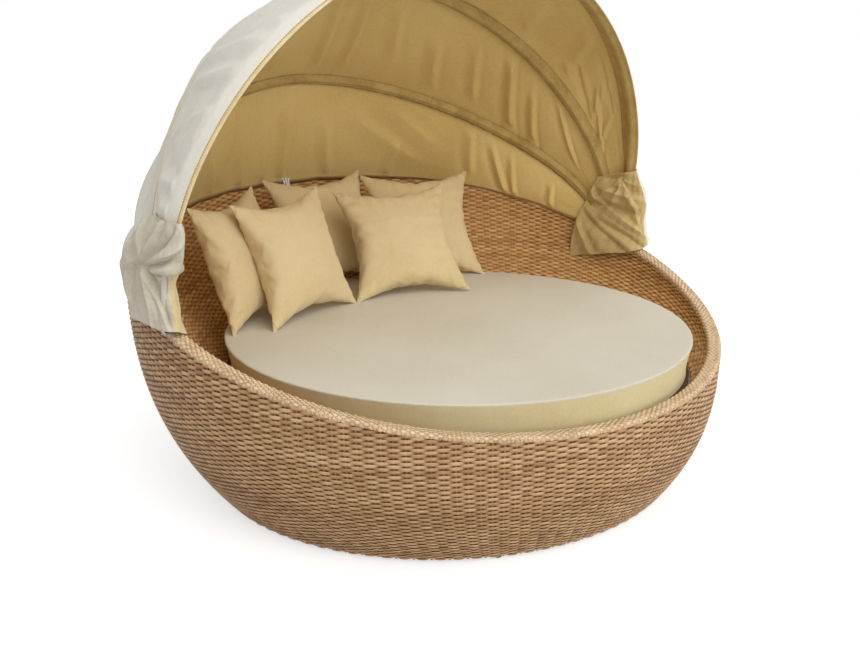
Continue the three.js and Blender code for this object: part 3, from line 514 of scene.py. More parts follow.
def braidPoint(turn, along, depth):  # along runs from the outside, over the rim, to the inside
    corner = braidLook["corner"]
    side = braidLook["outerDrop"] - corner
    arc = corner * math.pi / 2
    top = bed["band"] - 2 * corner
    along = np.asarray(along + 0 * turn)
    first = np.clip((along - side) / arc, 0, 1) * math.pi / 2
    second = np.clip((along - side - arc - top) / arc, 0, 1) * math.pi / 2
    flat = np.clip(along - side - arc, 0, top)
    past = np.maximum(along - side - 2 * arc - top, 0)
    before = np.maximum(side - along, 0)
    middle = corner - corner * np.cos(first) + flat + corner * np.sin(second)
    below = corner - corner * np.sin(first) + corner - corner * np.cos(second)
    angle = first + second
    inX, inDown = np.cos(angle), np.sin(angle)
    below = np.where(along < side, corner + before, below)
    return rimPoint(turn, middle + depth * inX, below + depth * inDown + past)


braidLength = 2 * (braidLook["outerDrop"] - braidLook["corner"]) + braidLook["corner"] * math.pi \
    + bed["band"] - 2 * braidLook["corner"]
braidPitch = braidLength / braidLook["rows"]
braidRows = (np.arange(braidLook["rows"]) + 0.5) * braidPitch
strands = weaveStrands("rim_braid_strands", braidLook, braidRows, np.ones(len(braidRows)), braidPoint,
                       lambda turn, along: along > -1, 501)
behind = weaveBehind("rim_part", braidLook, lambda turn: 0 * turn, lambda turn: braidLength + 0 * turn,
                     braidPoint, 12)
onBed(joinAll("rim_braid_strands", [strands] + behind), rimWicker, "rim_braid")
print("rim braid done")

# Mattress: sewn round cover with seams at the top and bottom edges
mattress = dict(
    radius=0.788, centreY=-0.147, low=0.3985, top=0.5263, crown=0.007, columns=540, pucker=0.0016,
    puckerReach=0.016, swell=0.0020, spread=0.015, shift=(-0.010, -0.009), topSeam=0.5218,
    edgeLow=[(0.780, 0.3995), (0.7845, 0.402), (0.7872, 0.4055), (0.7862, 0.4085)],
    edgeHigh=[(0.7862, 0.5178), (0.7875, 0.5205), (0.7868, 0.5236), (0.7838, 0.5254), (0.7800, 0.5257)],
    bottomRings=np.linspace(0, 0.772, 8),
    topRings=np.concatenate([[0.775, 0.769, 0.762, 0.754], np.linspace(0.744, 0, 40)]))
mattressProfile = np.array(  # radius and height, from the middle below to the middle on top
    [(r, mattress["low"]) for r in mattress["bottomRings"]] + mattress["edgeLow"]
    + [(0.7852 - 0.0035 * math.sin(math.pi * k / 11), 0.4115 + 0.1035 * k / 11) for k in range(12)]
    + mattress["edgeHigh"]
    + [(r, mattress["top"] + mattress["crown"] * (1 - (r / mattress["radius"]) ** 2) - 0.0004)
       for r in mattress["topRings"]])


def noiseAt(points, scale, seed=0.0):
    return np.array([noise.noise(Vector((p[0] * scale + seed, p[1] * scale - seed, p[2] * scale)))
                     for p in points])


def mattressPlace(i, j):
    r, z = mattressProfile[j].T
    angle = 2 * math.pi * i / mattress["columns"]
    gather = waves(5, 14, 150, 330)(angle) + 0.8 * waves(6, 8, 60, 140)(angle)
    away = np.hypot(np.clip(mattress["radius"] - r, 0, 1), np.clip(mattress["topSeam"] - z, 0, 1))
    high = z > 0.45
    fall = np.exp(-(away / mattress["puckerReach"]) ** 1.3)
    seamed = (away > 0.0032) * fall * mattress["pucker"] * gather
    ripple = waves(9, 10, 8, 46)(angle) * 0.0022 * np.sin(math.pi * np.clip((z - 0.40) / 0.125, 0, 1))
    onTop = j >= len(mattressProfile) - len(mattress["topRings"]) - 1
    flatFaced = onTop | (j < len(mattress["bottomRings"]))
    r = r + np.where(onTop | (r < 0.77), 0, seamed * high + ripple)
    high01 = np.clip((z - 0.402) / 0.112, 0, 1)  # the foam spreads a little towards its top
    r = r * (1 + mattress["spread"] / mattress["radius"] * high01)
    x = r * np.sin(angle) + mattress["shift"][0] * high01
    y = r * np.cos(angle) + mattress["centreY"] + mattress["shift"][1] * high01
    flatPoints = stacked(x, y, 0 * x)
    soft = noiseAt(flatPoints, 4.2) + 0.45 * noiseAt(flatPoints, 11.0, 3.1)
    fade = np.clip((0.775 - r) / 0.08, 0, 1)
    z = z + np.where(onTop, mattress["swell"] * soft * fade + seamed, 0)
    uv = stacked(np.where(flatFaced, x, angle * mattress["radius"]), np.where(flatFaced, y, z))
    return stacked(x, y, z), uv, dict(seam=np.exp(-(away / 0.003) ** 2) * high)


made = gridPiece("mattress_sewn_cover", mattress["columns"], len(mattressProfile) - 1, mattressPlace, weld=1e-5)
inEdit(made, bpy.ops.mesh.normals_make_consistent, inside=False)
seamLine = (0.86, 0.82, 0.74, 1)
mattressCloth = clothFinish("mattressCloth", (222, 217, 200), (218, 212, 194), (213, 205, 185),
                            thread=0.0018, bump=0.3, crumple=0.10, line=seamLine)
# painted warm bounce light: the side faces get a yellower copy of the cover cloth
mattressSideBounce = clothFinish("mattressSideBounce", (226, 214, 170), (221, 207, 160), (214, 198, 148),
                           thread=0.0018, bump=0.3, crumple=0.10, line=seamLine)
setMaterials(made, mattressCloth, mattressSideBounce)
# the upright side faces take the painted bounce light copy
for face in made.data.polygons:
    face.material_index = 1 if 0.41 < face.center.z < 0.5185 and abs(face.normal.z) < 0.5 else 0
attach(made, "bed")
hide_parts("mattress_cover", "mattress_foam")
print("mattress done")

# Pillows: one inflated and then seated five times
pillow = dict(side=0.445, thickness=0.140, cells=44, startSide=0.470, pressure=3.2, frames=22,
              places=[("pillow_1", -4.4, 28.0, -0.3), ("pillow_2", -24.9, 32.7, -0.5),
                      ("pillow_3", 27.5, 19.6, 0.1), ("pillow_4", 12.4, 22.6, 0.6),
                      ("pillow_5", -21.7, 35.4, 1.2)])


def pillowShell(side, puff):
    cells = pillow["cells"]

    def place(i, j):
        a, b = i / cells * 2 - 1, j / cells * 2 - 1
        x = side / 2 * a * (1 - 0.055 * puff * (1 - b * b))
        y = side / 2 * b * (1 - 0.055 * puff * (1 - a * a))
        fill = ((1 - a * a) * (1 - b * b)) ** 0.45
        full = 0.010 + (pillow["thickness"] / 2 - 0.010) * puff
        return stacked(x, y, fill * full), stacked(x, y), {}

    front = gridPiece("pillow_shell", cells, cells, place)
    back = copyOf(front)
    points = meshPoints(back)
    points[:, 2] *= -1
    setPoints(back, points)
    inEdit(back, bpy.ops.mesh.flip_normals)
    shell = joinAll("pillow_shell", [front, back])
    inEdit(shell, bpy.ops.mesh.remove_doubles, threshold=1e-4)
    return shell


def inflatedPillow():
    shell = pillowShell(pillow["startSide"], 0.0)
    onlyThis(shell)
    cloth = shell.modifiers.new("cloth", "CLOTH")
    for key, value in dict(quality=7, mass=0.25, tension_stiffness=18, compression_stiffness=18, shear_stiffness=6,
                           bending_stiffness=0.12, use_pressure=True,
                           uniform_pressure_force=pillow["pressure"]).items():
        setattr(cloth.settings, key, value)
    cloth.settings.effector_weights.gravity = 0
    cloth.collision_settings.use_collision = False
    cloth.point_cache.frame_start = 1
    cloth.point_cache.frame_end = pillow["frames"]
    for step in range(1, pillow["frames"] + 1):
        bpy.context.scene.frame_set(step)
        seen = shell.evaluated_get(bpy.context.evaluated_depsgraph_get())
        heights = np.array([v.co.z for v in seen.data.vertices])
        if np.ptp(heights) > pillow["thickness"] * 1.04:
            break
    onlyThis(shell)
    bpy.ops.object.modifier_apply(modifier=cloth.name)
    bpy.context.scene.frame_set(1)
    print("pillow thickness", round(float(np.ptp(meshPoints(shell)[:, 2])), 4), "at frame", step)
    return shell


def turned(axis, degrees):
    return np.array(Matrix.Rotation(math.radians(degrees), 3, axis))


pillowCloth = clothFinish("pillowCloth", (219, 198, 154), (215, 193, 147), (208, 185, 138),
                          thread=0.0017, sheen=0.2, bump=0.2, wide=4.0, crumple=0.16, gloss=(0.5, 0.64),
                          line=(0.70, 0.60, 0.45, 1))
master = inflatedPillow()
applied(master, "SUBSURF", levels=1, render_levels=1)
shape = meshPoints(master)
shape -= (shape.max(0) + shape.min(0)) / 2
span = np.ptp(shape, axis=0)
shape *= np.array([pillow["side"] / span[0], pillow["side"] / span[1], 1])
edgeX, edgeY = pillow["side"] / 2 - np.abs(shape[:, 0]), pillow["side"] / 2 - np.abs(shape[:, 1])
inward = np.clip(np.minimum(edgeX, edgeY), 0, None)
shape[:, 2] *= 1 + 0.30 * np.clip(inward / 0.16, 0, 1) ** 1.3
shape[:, 2] *= pillow["thickness"] / np.ptp(shape[:, 2])
ears = (np.abs(shape[:, 0] * shape[:, 1]) / (pillow["side"] / 2) ** 2) ** 4
shape[:, :2] *= (1 + 0.035 * ears)[:, None]
part = np.clip(np.abs(shape[:, :2]) / (pillow["side"] / 2), 0, 1)
shape[:, :2] *= 1 - 0.050 * part ** 3 * (1 - part[:, ::-1] ** 2)  # the sides draw in between the corners


def seamPuckers(points, seed):  # small gathers square to the seams, and a few long ones
    fromX, fromY = (pillow["side"] / 2 - np.abs(points[:, axis]) for axis in (0, 1))
    near = np.clip(np.minimum(fromX, fromY), 0, None)
    upright = fromX < fromY
    along = np.where(upright, points[:, 1], points[:, 0])
    hand = np.where(upright, np.sign(points[:, 0]), 2 * np.sign(points[:, 1]))
    face = np.sign(points[:, 2])
    short, long = waves(seed, 9, 150, 420), waves(seed + 1, 7, 40, 120)
    where = along + 0.11 * hand + 0.05 * face
    fold = np.abs(long(where * 1.3)) ** 0.7 * np.sign(long(where * 1.3))
    return face * (0.0042 * short(where) * np.exp(-near / 0.024) * np.minimum(1, near / 0.004)
                   + 0.0075 * fold * np.exp(-near / 0.062) * np.minimum(1, near / 0.010))


for k, (node, yaw, tilt, roll) in enumerate(pillow["places"]):
    made = copyOf(master)
    made.name = made.data.name = node.replace("pillow", "throw_pillow")
    quarter = turned("Z", 90 * k)
    points = shape @ quarter.T
    if k % 2:
        points[:, 2] *= -1
    slump = noiseAt(points, 7.0, 4.0 * k + 1)
    points[:, 2] += 0.006 * slump * np.clip(1 - np.abs(points[:, 0]) / 0.24, 0, 1) + seamPuckers(points, 301 + 5 * k)
    rim = pillow["side"] / 2 - np.maximum(np.abs(points[:, 0]), np.abs(points[:, 1]))
    sewn = made.data.attributes.new("seam", "FLOAT", "POINT")
    sewn.data.foreach_set("value", np.exp(-((rim - 0.0048) / 0.0022) ** 2).astype(np.float32))
    scallop = 1 + 0.005 * np.exp(-np.clip(rim, 0, 1) / 0.02) * waves(401 + k, 8, 60, 190)(points[:, 0] - points[:, 1])
    points[:, :2] *= scallop[:, None]
    upright = stacked(points[:, 0], points[:, 2], points[:, 1]) + [0, 0, pillow["side"] / 2]
    placed = upright @ (turned("Z", yaw) @ turned("X", -tilt) @ turned("Y", -roll)).T
    low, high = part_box(node)
    centre = (np.array(low) + np.array(high)) / 2
    shift = centre - (placed.max(0) + placed.min(0)) / 2
    setPoints(made, placed + shift)
    inEdit(made, bpy.ops.mesh.normals_make_consistent, inside=False)
    onBed(made, pillowCloth, node)
removeThis(master)
print("pillows done")

# Canopy bows and the cloth between them
bows = dict(rear=dict(angle=38.6, reach=0.960, half=1.085, pivot=1.020, power=1.8, cloth=0.0137),
            mid=dict(angle=72.5, reach=0.998, half=1.086, pivot=1.043, power=1.9, cloth=0.0137),
            front=dict(angle=100.8, reach=1.089, half=1.101, pivot=1.066, power=2.08, cloth=0.0153))


def bowPoint(bow, sweep, offset, extraTurn=0.0):
    across, away = np.abs(np.cos(sweep)), np.abs(np.sin(sweep))
    size = (across ** bow["power"] + away ** bow["power"]) ** (-1 / bow["power"])
    reach = (bow["reach"] + offset) * away * size
    gather = (bow["half"] - bow["pivot"]) * np.exp(-(reach / 0.230) ** 2)
    x = ((bow["half"] + offset) * across * size - gather) * np.sign(np.cos(sweep))
    angle = np.radians(bow["angle"] + extraTurn)
    return stacked(x, bed["pivotY"] + bed["shiftY"] + reach * np.cos(angle),
                     bed["pivotZ"] + reach * np.sin(angle))


panels = dict(start=0.046, span=0.908)  # the part of a bow's sweep that the cloth covers
casingReach = 0.0145  # from a bow's middle to the end of the cloth that holds to it


def panelSweep(share):
    return (panels["start"] + panels["span"] * share) * math.pi


def fromPivot(points):  # backwards and up from the line through the pivots
    return points[..., 1] - bed["pivotY"] - bed["shiftY"], points[..., 2] - bed["pivotZ"]


def bowAxes(bow, sweep):  # away from the bow's middle, and round the pivots towards the front
    angle = math.radians(bow["angle"])
    side = np.array([0, -math.sin(angle), math.cos(angle)])
    along = bowPoint(bow, sweep + 0.002, 0) - bowPoint(bow, sweep - 0.002, 0)
    out = np.cross(along, side)
    return out / np.linalg.norm(out, axis=-1, keepdims=True), side + 0 * out


def smoothStep(value, low, high):
    at = np.clip((value - low) / (high - low), 0, 1)
    return at * at * (3 - 2 * at)


def clothOn(name, share):  # on the left the cloth stands a little off the middle bow
    off = np.interp(share, [0.50, 0.56, 0.63, 0.69, 0.755, 0.82, 0.875, 1.0],
                    [0.0, 0.009, 0.024, 0.030, 0.028, 0.012, 0.003, 0.0]) if name == "mid" else 0 * share
    return bowPoint(bows[name], panelSweep(share), bows[name]["cloth"] + off)


def clearOfTubes(folds, along):  # near a bow the folds don't press into its casing
    near = smoothStep(np.abs(along - 0.5), 0.24, 0.38)
    return folds + near * np.maximum(0, -folds - 0.0004)


def gridNormals(points):
    du = np.gradient(points, axis=1)
    dv = np.gradient(points, axis=0)
    normal = np.cross(du, dv)
    return normal / np.maximum(np.linalg.norm(normal, axis=-1, keepdims=True), 1e-12)


# A crease is its two ends, its depth in mm and its half width along u, all in thousandths
def creaseField(u, v, creases, aspect=0.18):
    total = np.zeros_like(u)
    for u0, v0, u1, v1, depth, width in np.array(creases) / 1000:
        du, dv = (u1 - u0), (v1 - v0) * aspect
        length = math.hypot(du, dv)
        pu, pv = u - u0, (v - v0) * aspect
        share = (pu * du + pv * dv) / length ** 2
        across = (pu * dv - pv * du) / length
        ends = 1 / (1 + np.exp(-share * 16)) / (1 + np.exp((share - 1) * 16))
        reach = np.abs(across) / width * np.where(across > 0, 1.45, 0.8)  # one side is steeper
        total += depth * ends * (np.exp(-reach ** 1.2) - 0.35 * np.exp(-((reach - 2.0) / 1.0) ** 2))
    return total


def blendByHold(made, low, high):  # reads each point's hold, how far it should go with the second body, but doesn't use it: the piece is only baked in place and the hold removed
    values = pulled(made.data.attributes["hold"].data, "value")
    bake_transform(made)
    made.data.attributes.remove(made.data.attributes["hold"])


# holdAt(points, share) gives the hold of every point, and is None for a piece that rides on one body
def clothPiece(name, look, rows, surface, holdAt, bodies, replaces, finishes, thickness=0.0016,
               dress=None):
    columns = look["columns"]
    share, row = np.linspace(0, 1, columns + 1), np.linspace(0, 1, rows + 1)
    points = surface(share, row)
    hold = holdAt and holdAt(points, share)
    lengthU, lengthV = (np.concatenate([[0], np.cumsum(np.linalg.norm(np.diff(line, axis=0), axis=-1))])
                        for line in (points[rows // 2], points[:, columns // 2]))

    def place(i, j):
        return points[j, i], stacked(lengthU[i], lengthV[j]), dict(hold=hold[j, i]) if holdAt else {}

    made = gridPiece(name, columns, rows, place, finishes=finishes, dress=dress)
    applied(made, "SOLIDIFY", thickness=thickness, offset=0.0, material_offset=1, material_offset_rim=0,
            use_even_offset=False, use_quality_normals=True)
    if holdAt:
        blendByHold(made, *bodies)
    else:
        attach(made, *bodies)
    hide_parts(*replaces)
    return made


def foldAngle(points):
    back, up = fromPivot(points)
    return np.degrees(np.arctan2(up, back))


def heldShare(points, low, high, lowGrip=1):  # 0 on the lower bow and 1 on the upper, each with its casing
    grip = np.degrees(casingReach / np.maximum(np.hypot(*fromPivot(points)), 0.05))
    grip = np.minimum(grip, 0.3 * (high - low))
    return np.clip((foldAngle(points) - low - lowGrip * grip) / (high - low - (1 + lowGrip) * grip), 0, 1)


def swell(row):
    return 4 * row * (1 - row)


canopyOut = clothFinish("canopyOutside", (236, 233, 224), (231, 227, 215), (223, 217, 201), crumple=0.32)
# painted light: the inside of the cream cloth is coloured golden, as light passing through it and bouncing inside
# would make it look
canopyInGlow = clothFinish("canopyInsideGlow", (230, 203, 137), (224, 195, 127), (215, 184, 114), crumple=0.26)
# painted shade: the casings are a darker, browner copy of the cloth, as double cloth lets less light through
sleeveShaded = clothFinish("sleeveClothShaded", (200, 172, 112), (188, 158, 97), (168, 138, 78),
                       bump=0.3, wide=14.0, crumple=0.3)
hemEdge = clothFinish("hemEdge", (240, 222, 180), (232, 211, 165), (220, 196, 147), bump=0.3, wide=20.0)
seamTape = clothFinish("seamTape", (246, 222, 182), (240, 213, 170), (228, 199, 154),
                       thread=0.0010, sheen=0.05, bump=0.3, wide=20.0)

canopyBack = dict(
    columns=380, rise=52, sag=0.013, flat=(3.05, 0.52), area=1.10,
    route=[(-0.005, 0.030, 0), (-0.005, 0.012, 0), (-0.005, -0.003, 0), (0.010, -0.0038, 0),
           (0.040, -0.0038, 0), (0.0518, -0.001, 0.5), (0.0538, 0.004, 1.0), (0.0562, -0.004, 0.3)],
    creases=[
        (625, 360, 612, -100, 7, 6), (570, 500, 556, -100, 8, 6), (526, 360, 516, -100, 6, 5),
        (500, 720, 488, 50, 11, 6), (436, 580, 413, 50, 9, 7), (398, 660, 288, 260, 3.5, 12),
        (222, 800, 196, 220, 8, 6), (181, 700, 124, -100, 11, 5), (148, 660, 113, -100, 9, 4),
        (71, 500, 58, 0, 7, 4), (598, 800, 594, 350, 7, 7), (368, 900, 270, 500, 3.5, 12),
        (660, 600, 668, 0, 8, 6), (700, 750, 712, 100, 8, 6), (770, 650, 790, 0, 9, 6),
        (850, 800, 868, 50, 9, 5), (905, 850, 915, 100, 8, 4), (320, 400, 318, 0, 6, 6),
        (740, 1000, 752, 100, 6, 5), (812, 1000, 830, 100, 6, 5), (878, 1000, 893, 100, 6, 4),
        (640, 1000, 642, 500, 5, 5)])
canopyMiddle = dict(
    columns=380, rows=44, sag=0.011, billow=(0.034, 0.66, 0.13), flat=(3.00, 0.60), area=1.20,
    creases=[
        (514, 760, 477, 20, 9, 5), (477, 800, 441, 80, 9, 5), (350, 600, 310, 140, 8, 7),
        (297, 720, 252, 240, 8, 6), (258, 950, 166, 30, 14, 6), (188, 680, 117, -50, 12, 5),
        (166, 950, 72, 420, 11, 5), (590, 400, 612, 0, 9, 6), (575, 660, 553, 20, 9, 6),
        (436, 880, 390, 340, 7, 7), (655, 700, 668, 50, 8, 6), (720, 900, 752, 100, 10, 6),
        (800, 850, 840, 50, 11, 6), (870, 900, 905, 100, 10, 5)])
canopySpan = dict(
    columns=400, rows=62, start=-0.010, last=0.90, rise=0.019, tapeHalf=0.0092, flat=(3.20, 0.64), area=1.58,
    creases=[
        (758, 1000, 758, 0, -10, 11), (791, 1000, 792, 0, -10, 11), (838, 1000, 855, 300, -10, 11),
        (814, 1000, 806, 250, 5, 10), (863, 970, 876, 510, -7, 11), (915, 1000, 902, 250, -8, 11),
        (940, 1000, 930, 440, -8, 10), (724, 1000, 743, 600, -8, 11), (224, 710, 190, 230, 9, 8),
        (147, 630, 103, 90, 9, 7), (299, 530, 275, 160, 8, 9), (103, 530, 61, 10, 8, 5),
        (145, 450, 31, 0, 8, 5), (199, 370, 120, 160, -7, 8), (191, 680, 114, 570, -6, 6)])


def softFolds(u, v, seed, size):
    a, b, c = waves(seed, 6, 18, 60), waves(seed + 1, 6, 30, 95), waves(seed + 2, 4, 2, 9)
    lean = 0.05 * c(v * 2)
    return size * (0.7 * a(u + lean) + 0.5 * b(u - lean * 1.4)) * (0.6 + 0.4 * np.sin(5 * v + 9 * u))


def backRoute(share):  # from the hem outside, over the rim and down a little at the seat side
    droop = 0.007 + 0.012 * smoothStep(share, 0.2, 0.5) + 0.010 * smoothStep(share, 0.55, 0.72)
    droop = droop + 0.011 * np.abs(waves(33, 5, 22, 58)(share)) ** 0.7 - 0.004
    turn = math.pi / 2 - panelSweep(share)
    return np.array([rimPoint(turn, depth + 0 * share, below + weight * droop)
                     for depth, below, weight in canopyBack["route"]])


def backSurface(share, row):
    route = backRoute(share)
    rise = np.linspace(0, 1, canopyBack["rise"] + 1)[1:, None, None]
    high = clothOn("rear", share)
    points = np.concatenate([route, route[-1] + (high - route[-1]) * rise * 0.998])
    u = share + 0 * row[:, None]
    v = np.concatenate([np.zeros(len(route)), rise[:, 0, 0]])[:, None] + 0 * share
    shift = -canopyBack["sag"] * swell(v)
    folds = softFolds(u, v, 21, 0.008) * swell(v)
    folds = folds - 1.5 * creaseField(u, v, canopyBack["creases"]) * np.minimum(1, swell(v) * 4 + 0.12 * (v > 0))
    shift = shift + np.where(v > 0.5, clearOfTubes(folds, v), folds)
    return points + gridNormals(points) * shift[..., None]


def backHold(points, share):
    hold = heldShare(points, foldAngle(backRoute(share)[-1]), bows["rear"]["angle"], 0)
    hold[:len(canopyBack["route"])] = 0
    return hold


def spanHold(low, high):
    return lambda points, share: heldShare(points, bows[low]["angle"], bows[high]["angle"])


def middleSurface(share, row):
    u, v = np.meshgrid(share, row)
    low, high = clothOn("rear", share), clothOn("mid", share)
    points = low + (high - low) * (0.002 + 0.996 * v)[..., None]
    shift = -canopyMiddle["sag"] * swell(v)
    size, middle, width = canopyMiddle["billow"]
    shift = shift + size * np.exp(-((share - middle) / width) ** 2) * np.sin(math.pi * v ** 2.8)
    folds = softFolds(u, v, 41, 0.008) * swell(v)
    folds = folds - 1.5 * creaseField(u, v, canopyMiddle["creases"]) * np.minimum(1, swell(v) * 3)
    shift = shift + clearOfTubes(folds, v)
    return points + gridNormals(points) * shift[..., None]


def spanSurface(u, along):  # the cloth from the middle to the front bow; along runs from 0 to 1 between them
    share = u[0]
    low, high = clothOn("mid", share), clothOn("front", share)
    points = low + (high - low) * along[..., None]
    out = points - [0, bed["pivotY"] + bed["shiftY"], bed["pivotZ"]]
    out = out / np.linalg.norm(out, axis=-1, keepdims=True)
    middle = np.sin(panelSweep(share))
    folds = softFolds(u, along, 61, 0.005) * swell(along)
    folds = folds - 1.3 * creaseField(u, along, canopySpan["creases"]) * np.minimum(1, swell(along) * 3)
    shift = canopySpan["rise"] * swell(along) * middle + clearOfTubes(folds, along)
    return points + out * shift[..., None]


frontSlot = dict(plain=0, casing=2, lip=3, tape=4)  # the front cloth's finishes


def tapeFaces(i, j):  # the seam tape lies on the middle bow, and runs ahead of it low on the left
    share = (i + 0.5) / canopySpan["columns"]
    width = np.linalg.norm(clothOn("front", share) - clothOn("mid", share), axis=-1)
    at = (canopySpan["start"] + (j + 0.5) / canopySpan["rows"] * (canopySpan["last"] - canopySpan["start"])) * width
    middle = np.interp(share, [0, 0.06, 0.12, 0.86, 0.90, 0.93, 0.96],
                       [0.085, 0.07, 0.006, 0.006, 0.030, 0.068, 0.080])
    onTape = (np.abs(at - middle) < canopySpan["tapeHalf"]) & (j < canopySpan["rows"])
    return np.where(onTape, frontSlot["tape"], frontSlot["plain"])


clothPiece("canopy_cloth_back", canopyBack, len(canopyBack["route"]) + canopyBack["rise"] - 1, backSurface, backHold,
           ("bed", "rear_bow"), ["canopy_back"],
           [canopyOut, canopyInGlow, canopyInGlow], dress=lambda i, j: np.where((j > 2) & (j < 8), 1, 0))
clothPiece("canopy_cloth_middle", canopyMiddle, canopyMiddle["rows"], middleSurface, spanHold("rear", "mid"),
           ("rear_bow", "mid_bow"), ["canopy_middle"], [canopyOut, canopyInGlow])

# Front cloth and visor: over the front bow to the stitched lip, and back inside to the casing's seam
hemPath = np.array([(13.9, -14, 0), (14.0, -7, 0), (13.6, 0, 0), (11.9, 7, 0), (8.8, 12, 0.2), (6.8, 14, 0.54),
                    (4.9, 14.5, 0.64), (6.3, 14.8, 0.72), (6.0, 15, 0.90), (4.6, 15.6, 1.0), (2.6, 15.6, 1.0),
                    (1.2, 15, 0.9), (-0.5, 14.2, 0.5), (-4.5, 12.8, 0.1), (-9.5, 9.5, 0), (-12.8, 5, 0),
                    (-13.7, -1, 0), (-13.0, -9, 0), (-10.5, -17, 0), (12.0, -29, 0), (9.0, -38, 0),
                    (7.0, -45, 0), (5.5, -51, 0)]) / [1000, 1000, 1]
# The rows of hemPath that end the outer face and the lip; its last four rows are depths under the cloth
faceRow, lipRow = 4, 9


def lipReach(share):
    return 0.012 + 0.024 * smoothStep(share, 0.45, 0.78) - 0.022 * smoothStep(share, 0.945, 0.985)


def clothLevel(name, there, share, back, sag):  # how far out the cloth lies at a distance from a bow
    here = clothOn(name, share)
    out, side = bowAxes(bows[name], panelSweep(share))
    part = back / np.abs(np.sum((there - here) * side, -1))
    start = np.sum((here - bowPoint(bows[name], panelSweep(share), 0)) * out, -1)
    return start + np.sum((there - here) * out, -1) * part - sag * swell(part)


def hemPoints(share, path):
    bow, sweep = bows["front"], panelSweep(share)
    out, side = bowAxes(bow, sweep)
    centre = bowPoint(bow, sweep, 0)
    room = np.linalg.norm(clothOn("front", share) - clothOn("mid", share), axis=-1) * 0.3
    narrow = np.minimum(1, room / 0.055)
    rows = []
    for away, along, lip in path:
        ahead = along * (narrow if along < 0 else 1) + lip * lipReach(share)
        level = away + 0 * ahead
        if along < -0.02:
            level = clothLevel("front", clothOn("mid", share), share, -ahead,
                               -canopySpan["rise"] * np.sin(sweep)) - away * narrow
        rows.append(centre + out * level[:, None] + side * ahead[:, None])
    return np.array(rows)


def frontSurface(share, row):
    u, v = np.meshgrid(share, np.linspace(canopySpan["start"], canopySpan["last"], canopySpan["rows"] + 1))
    return np.concatenate([spanSurface(u, v), hemPoints(share, hemPath)])


def frontDress(i, j):
    row = j - canopySpan["rows"] - 1
    return np.select([row > lipRow, row > faceRow], [frontSlot["casing"], frontSlot["lip"]], tapeFaces(i, j))


clothPiece("canopy_cloth_front", canopySpan, canopySpan["rows"] + len(hemPath), frontSurface,
           spanHold("mid", "front"), ("mid_bow", "front_bow"), ["canopy_front", "canopy_visor"],
           [canopyOut, canopyInGlow, sleeveShaded, hemEdge, seamTape, canopyInGlow],
           thickness=0.0014, dress=frontDress)

stitch = dict(every=0.0086, share=0.60, height=0.0014, lip=(0.60, 0.67), length=3.20)


def stitchPiece():  # the row of thread along the visor's lip
    count = int(stitch["length"] / stitch["every"])

    def place(i, j):
        share = np.clip((i // 2 + (i % 2) * stitch["share"]) / count, 0, 1)
        path = np.array([(6.1, 14.5, stitch["lip"][0]), (6.1, 14.5, stitch["lip"][1])]) / [1000, 1000, 1]
        even = np.linspace(0, 1, 2001)
        points = hemPoints(even, path)
        spots = [stacked(*(np.interp(share, even, points[k, :, c]) for c in range(3))) for k in (0, 1)]
        return np.where((j == 0)[:, None], spots[0], spots[1]), stacked(share, j * 0.001), {}

    made = gridPiece("canopy_hem_stitches", count * 2 - 1, 1, place, keep=lambda i, j: i % 2 == 0)
    applied(made, "SOLIDIFY", thickness=stitch["height"], offset=0.0)
    setMaterials(made, metalFinish("stitchThread", (168, 140, 98), (140, 112, 74), 0.0, 0.8))
    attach(made, "front_bow")


stitchPiece()
print("canopy panels done")

# Flat casings round the rear and middle bows, gathered along their length
# Their profile is across and out from the tube, and under the cloth for the two points at each side
sleeve = dict(
    start=0.034, columns=900, middle=4,
    profile=[(-27, 3.2), (-20, 7.0), (-13.5, -8.5), (-8, -13.4), (0, -15.4), (8, -13.4), (13.5, -8.5),
             (20, 7.0), (27, 3.2)],
    rear=dict(wide=0.86, ruche=0.0026, lips=0.16, sags=(0.013, 0.011), lowGrip=0, flat=0.034, seed=101),
    mid=dict(wide=1.0, ruche=0.0010, lips=0.05, sags=(0.011, -0.017), lowGrip=1, flat=0.040, seed=131))


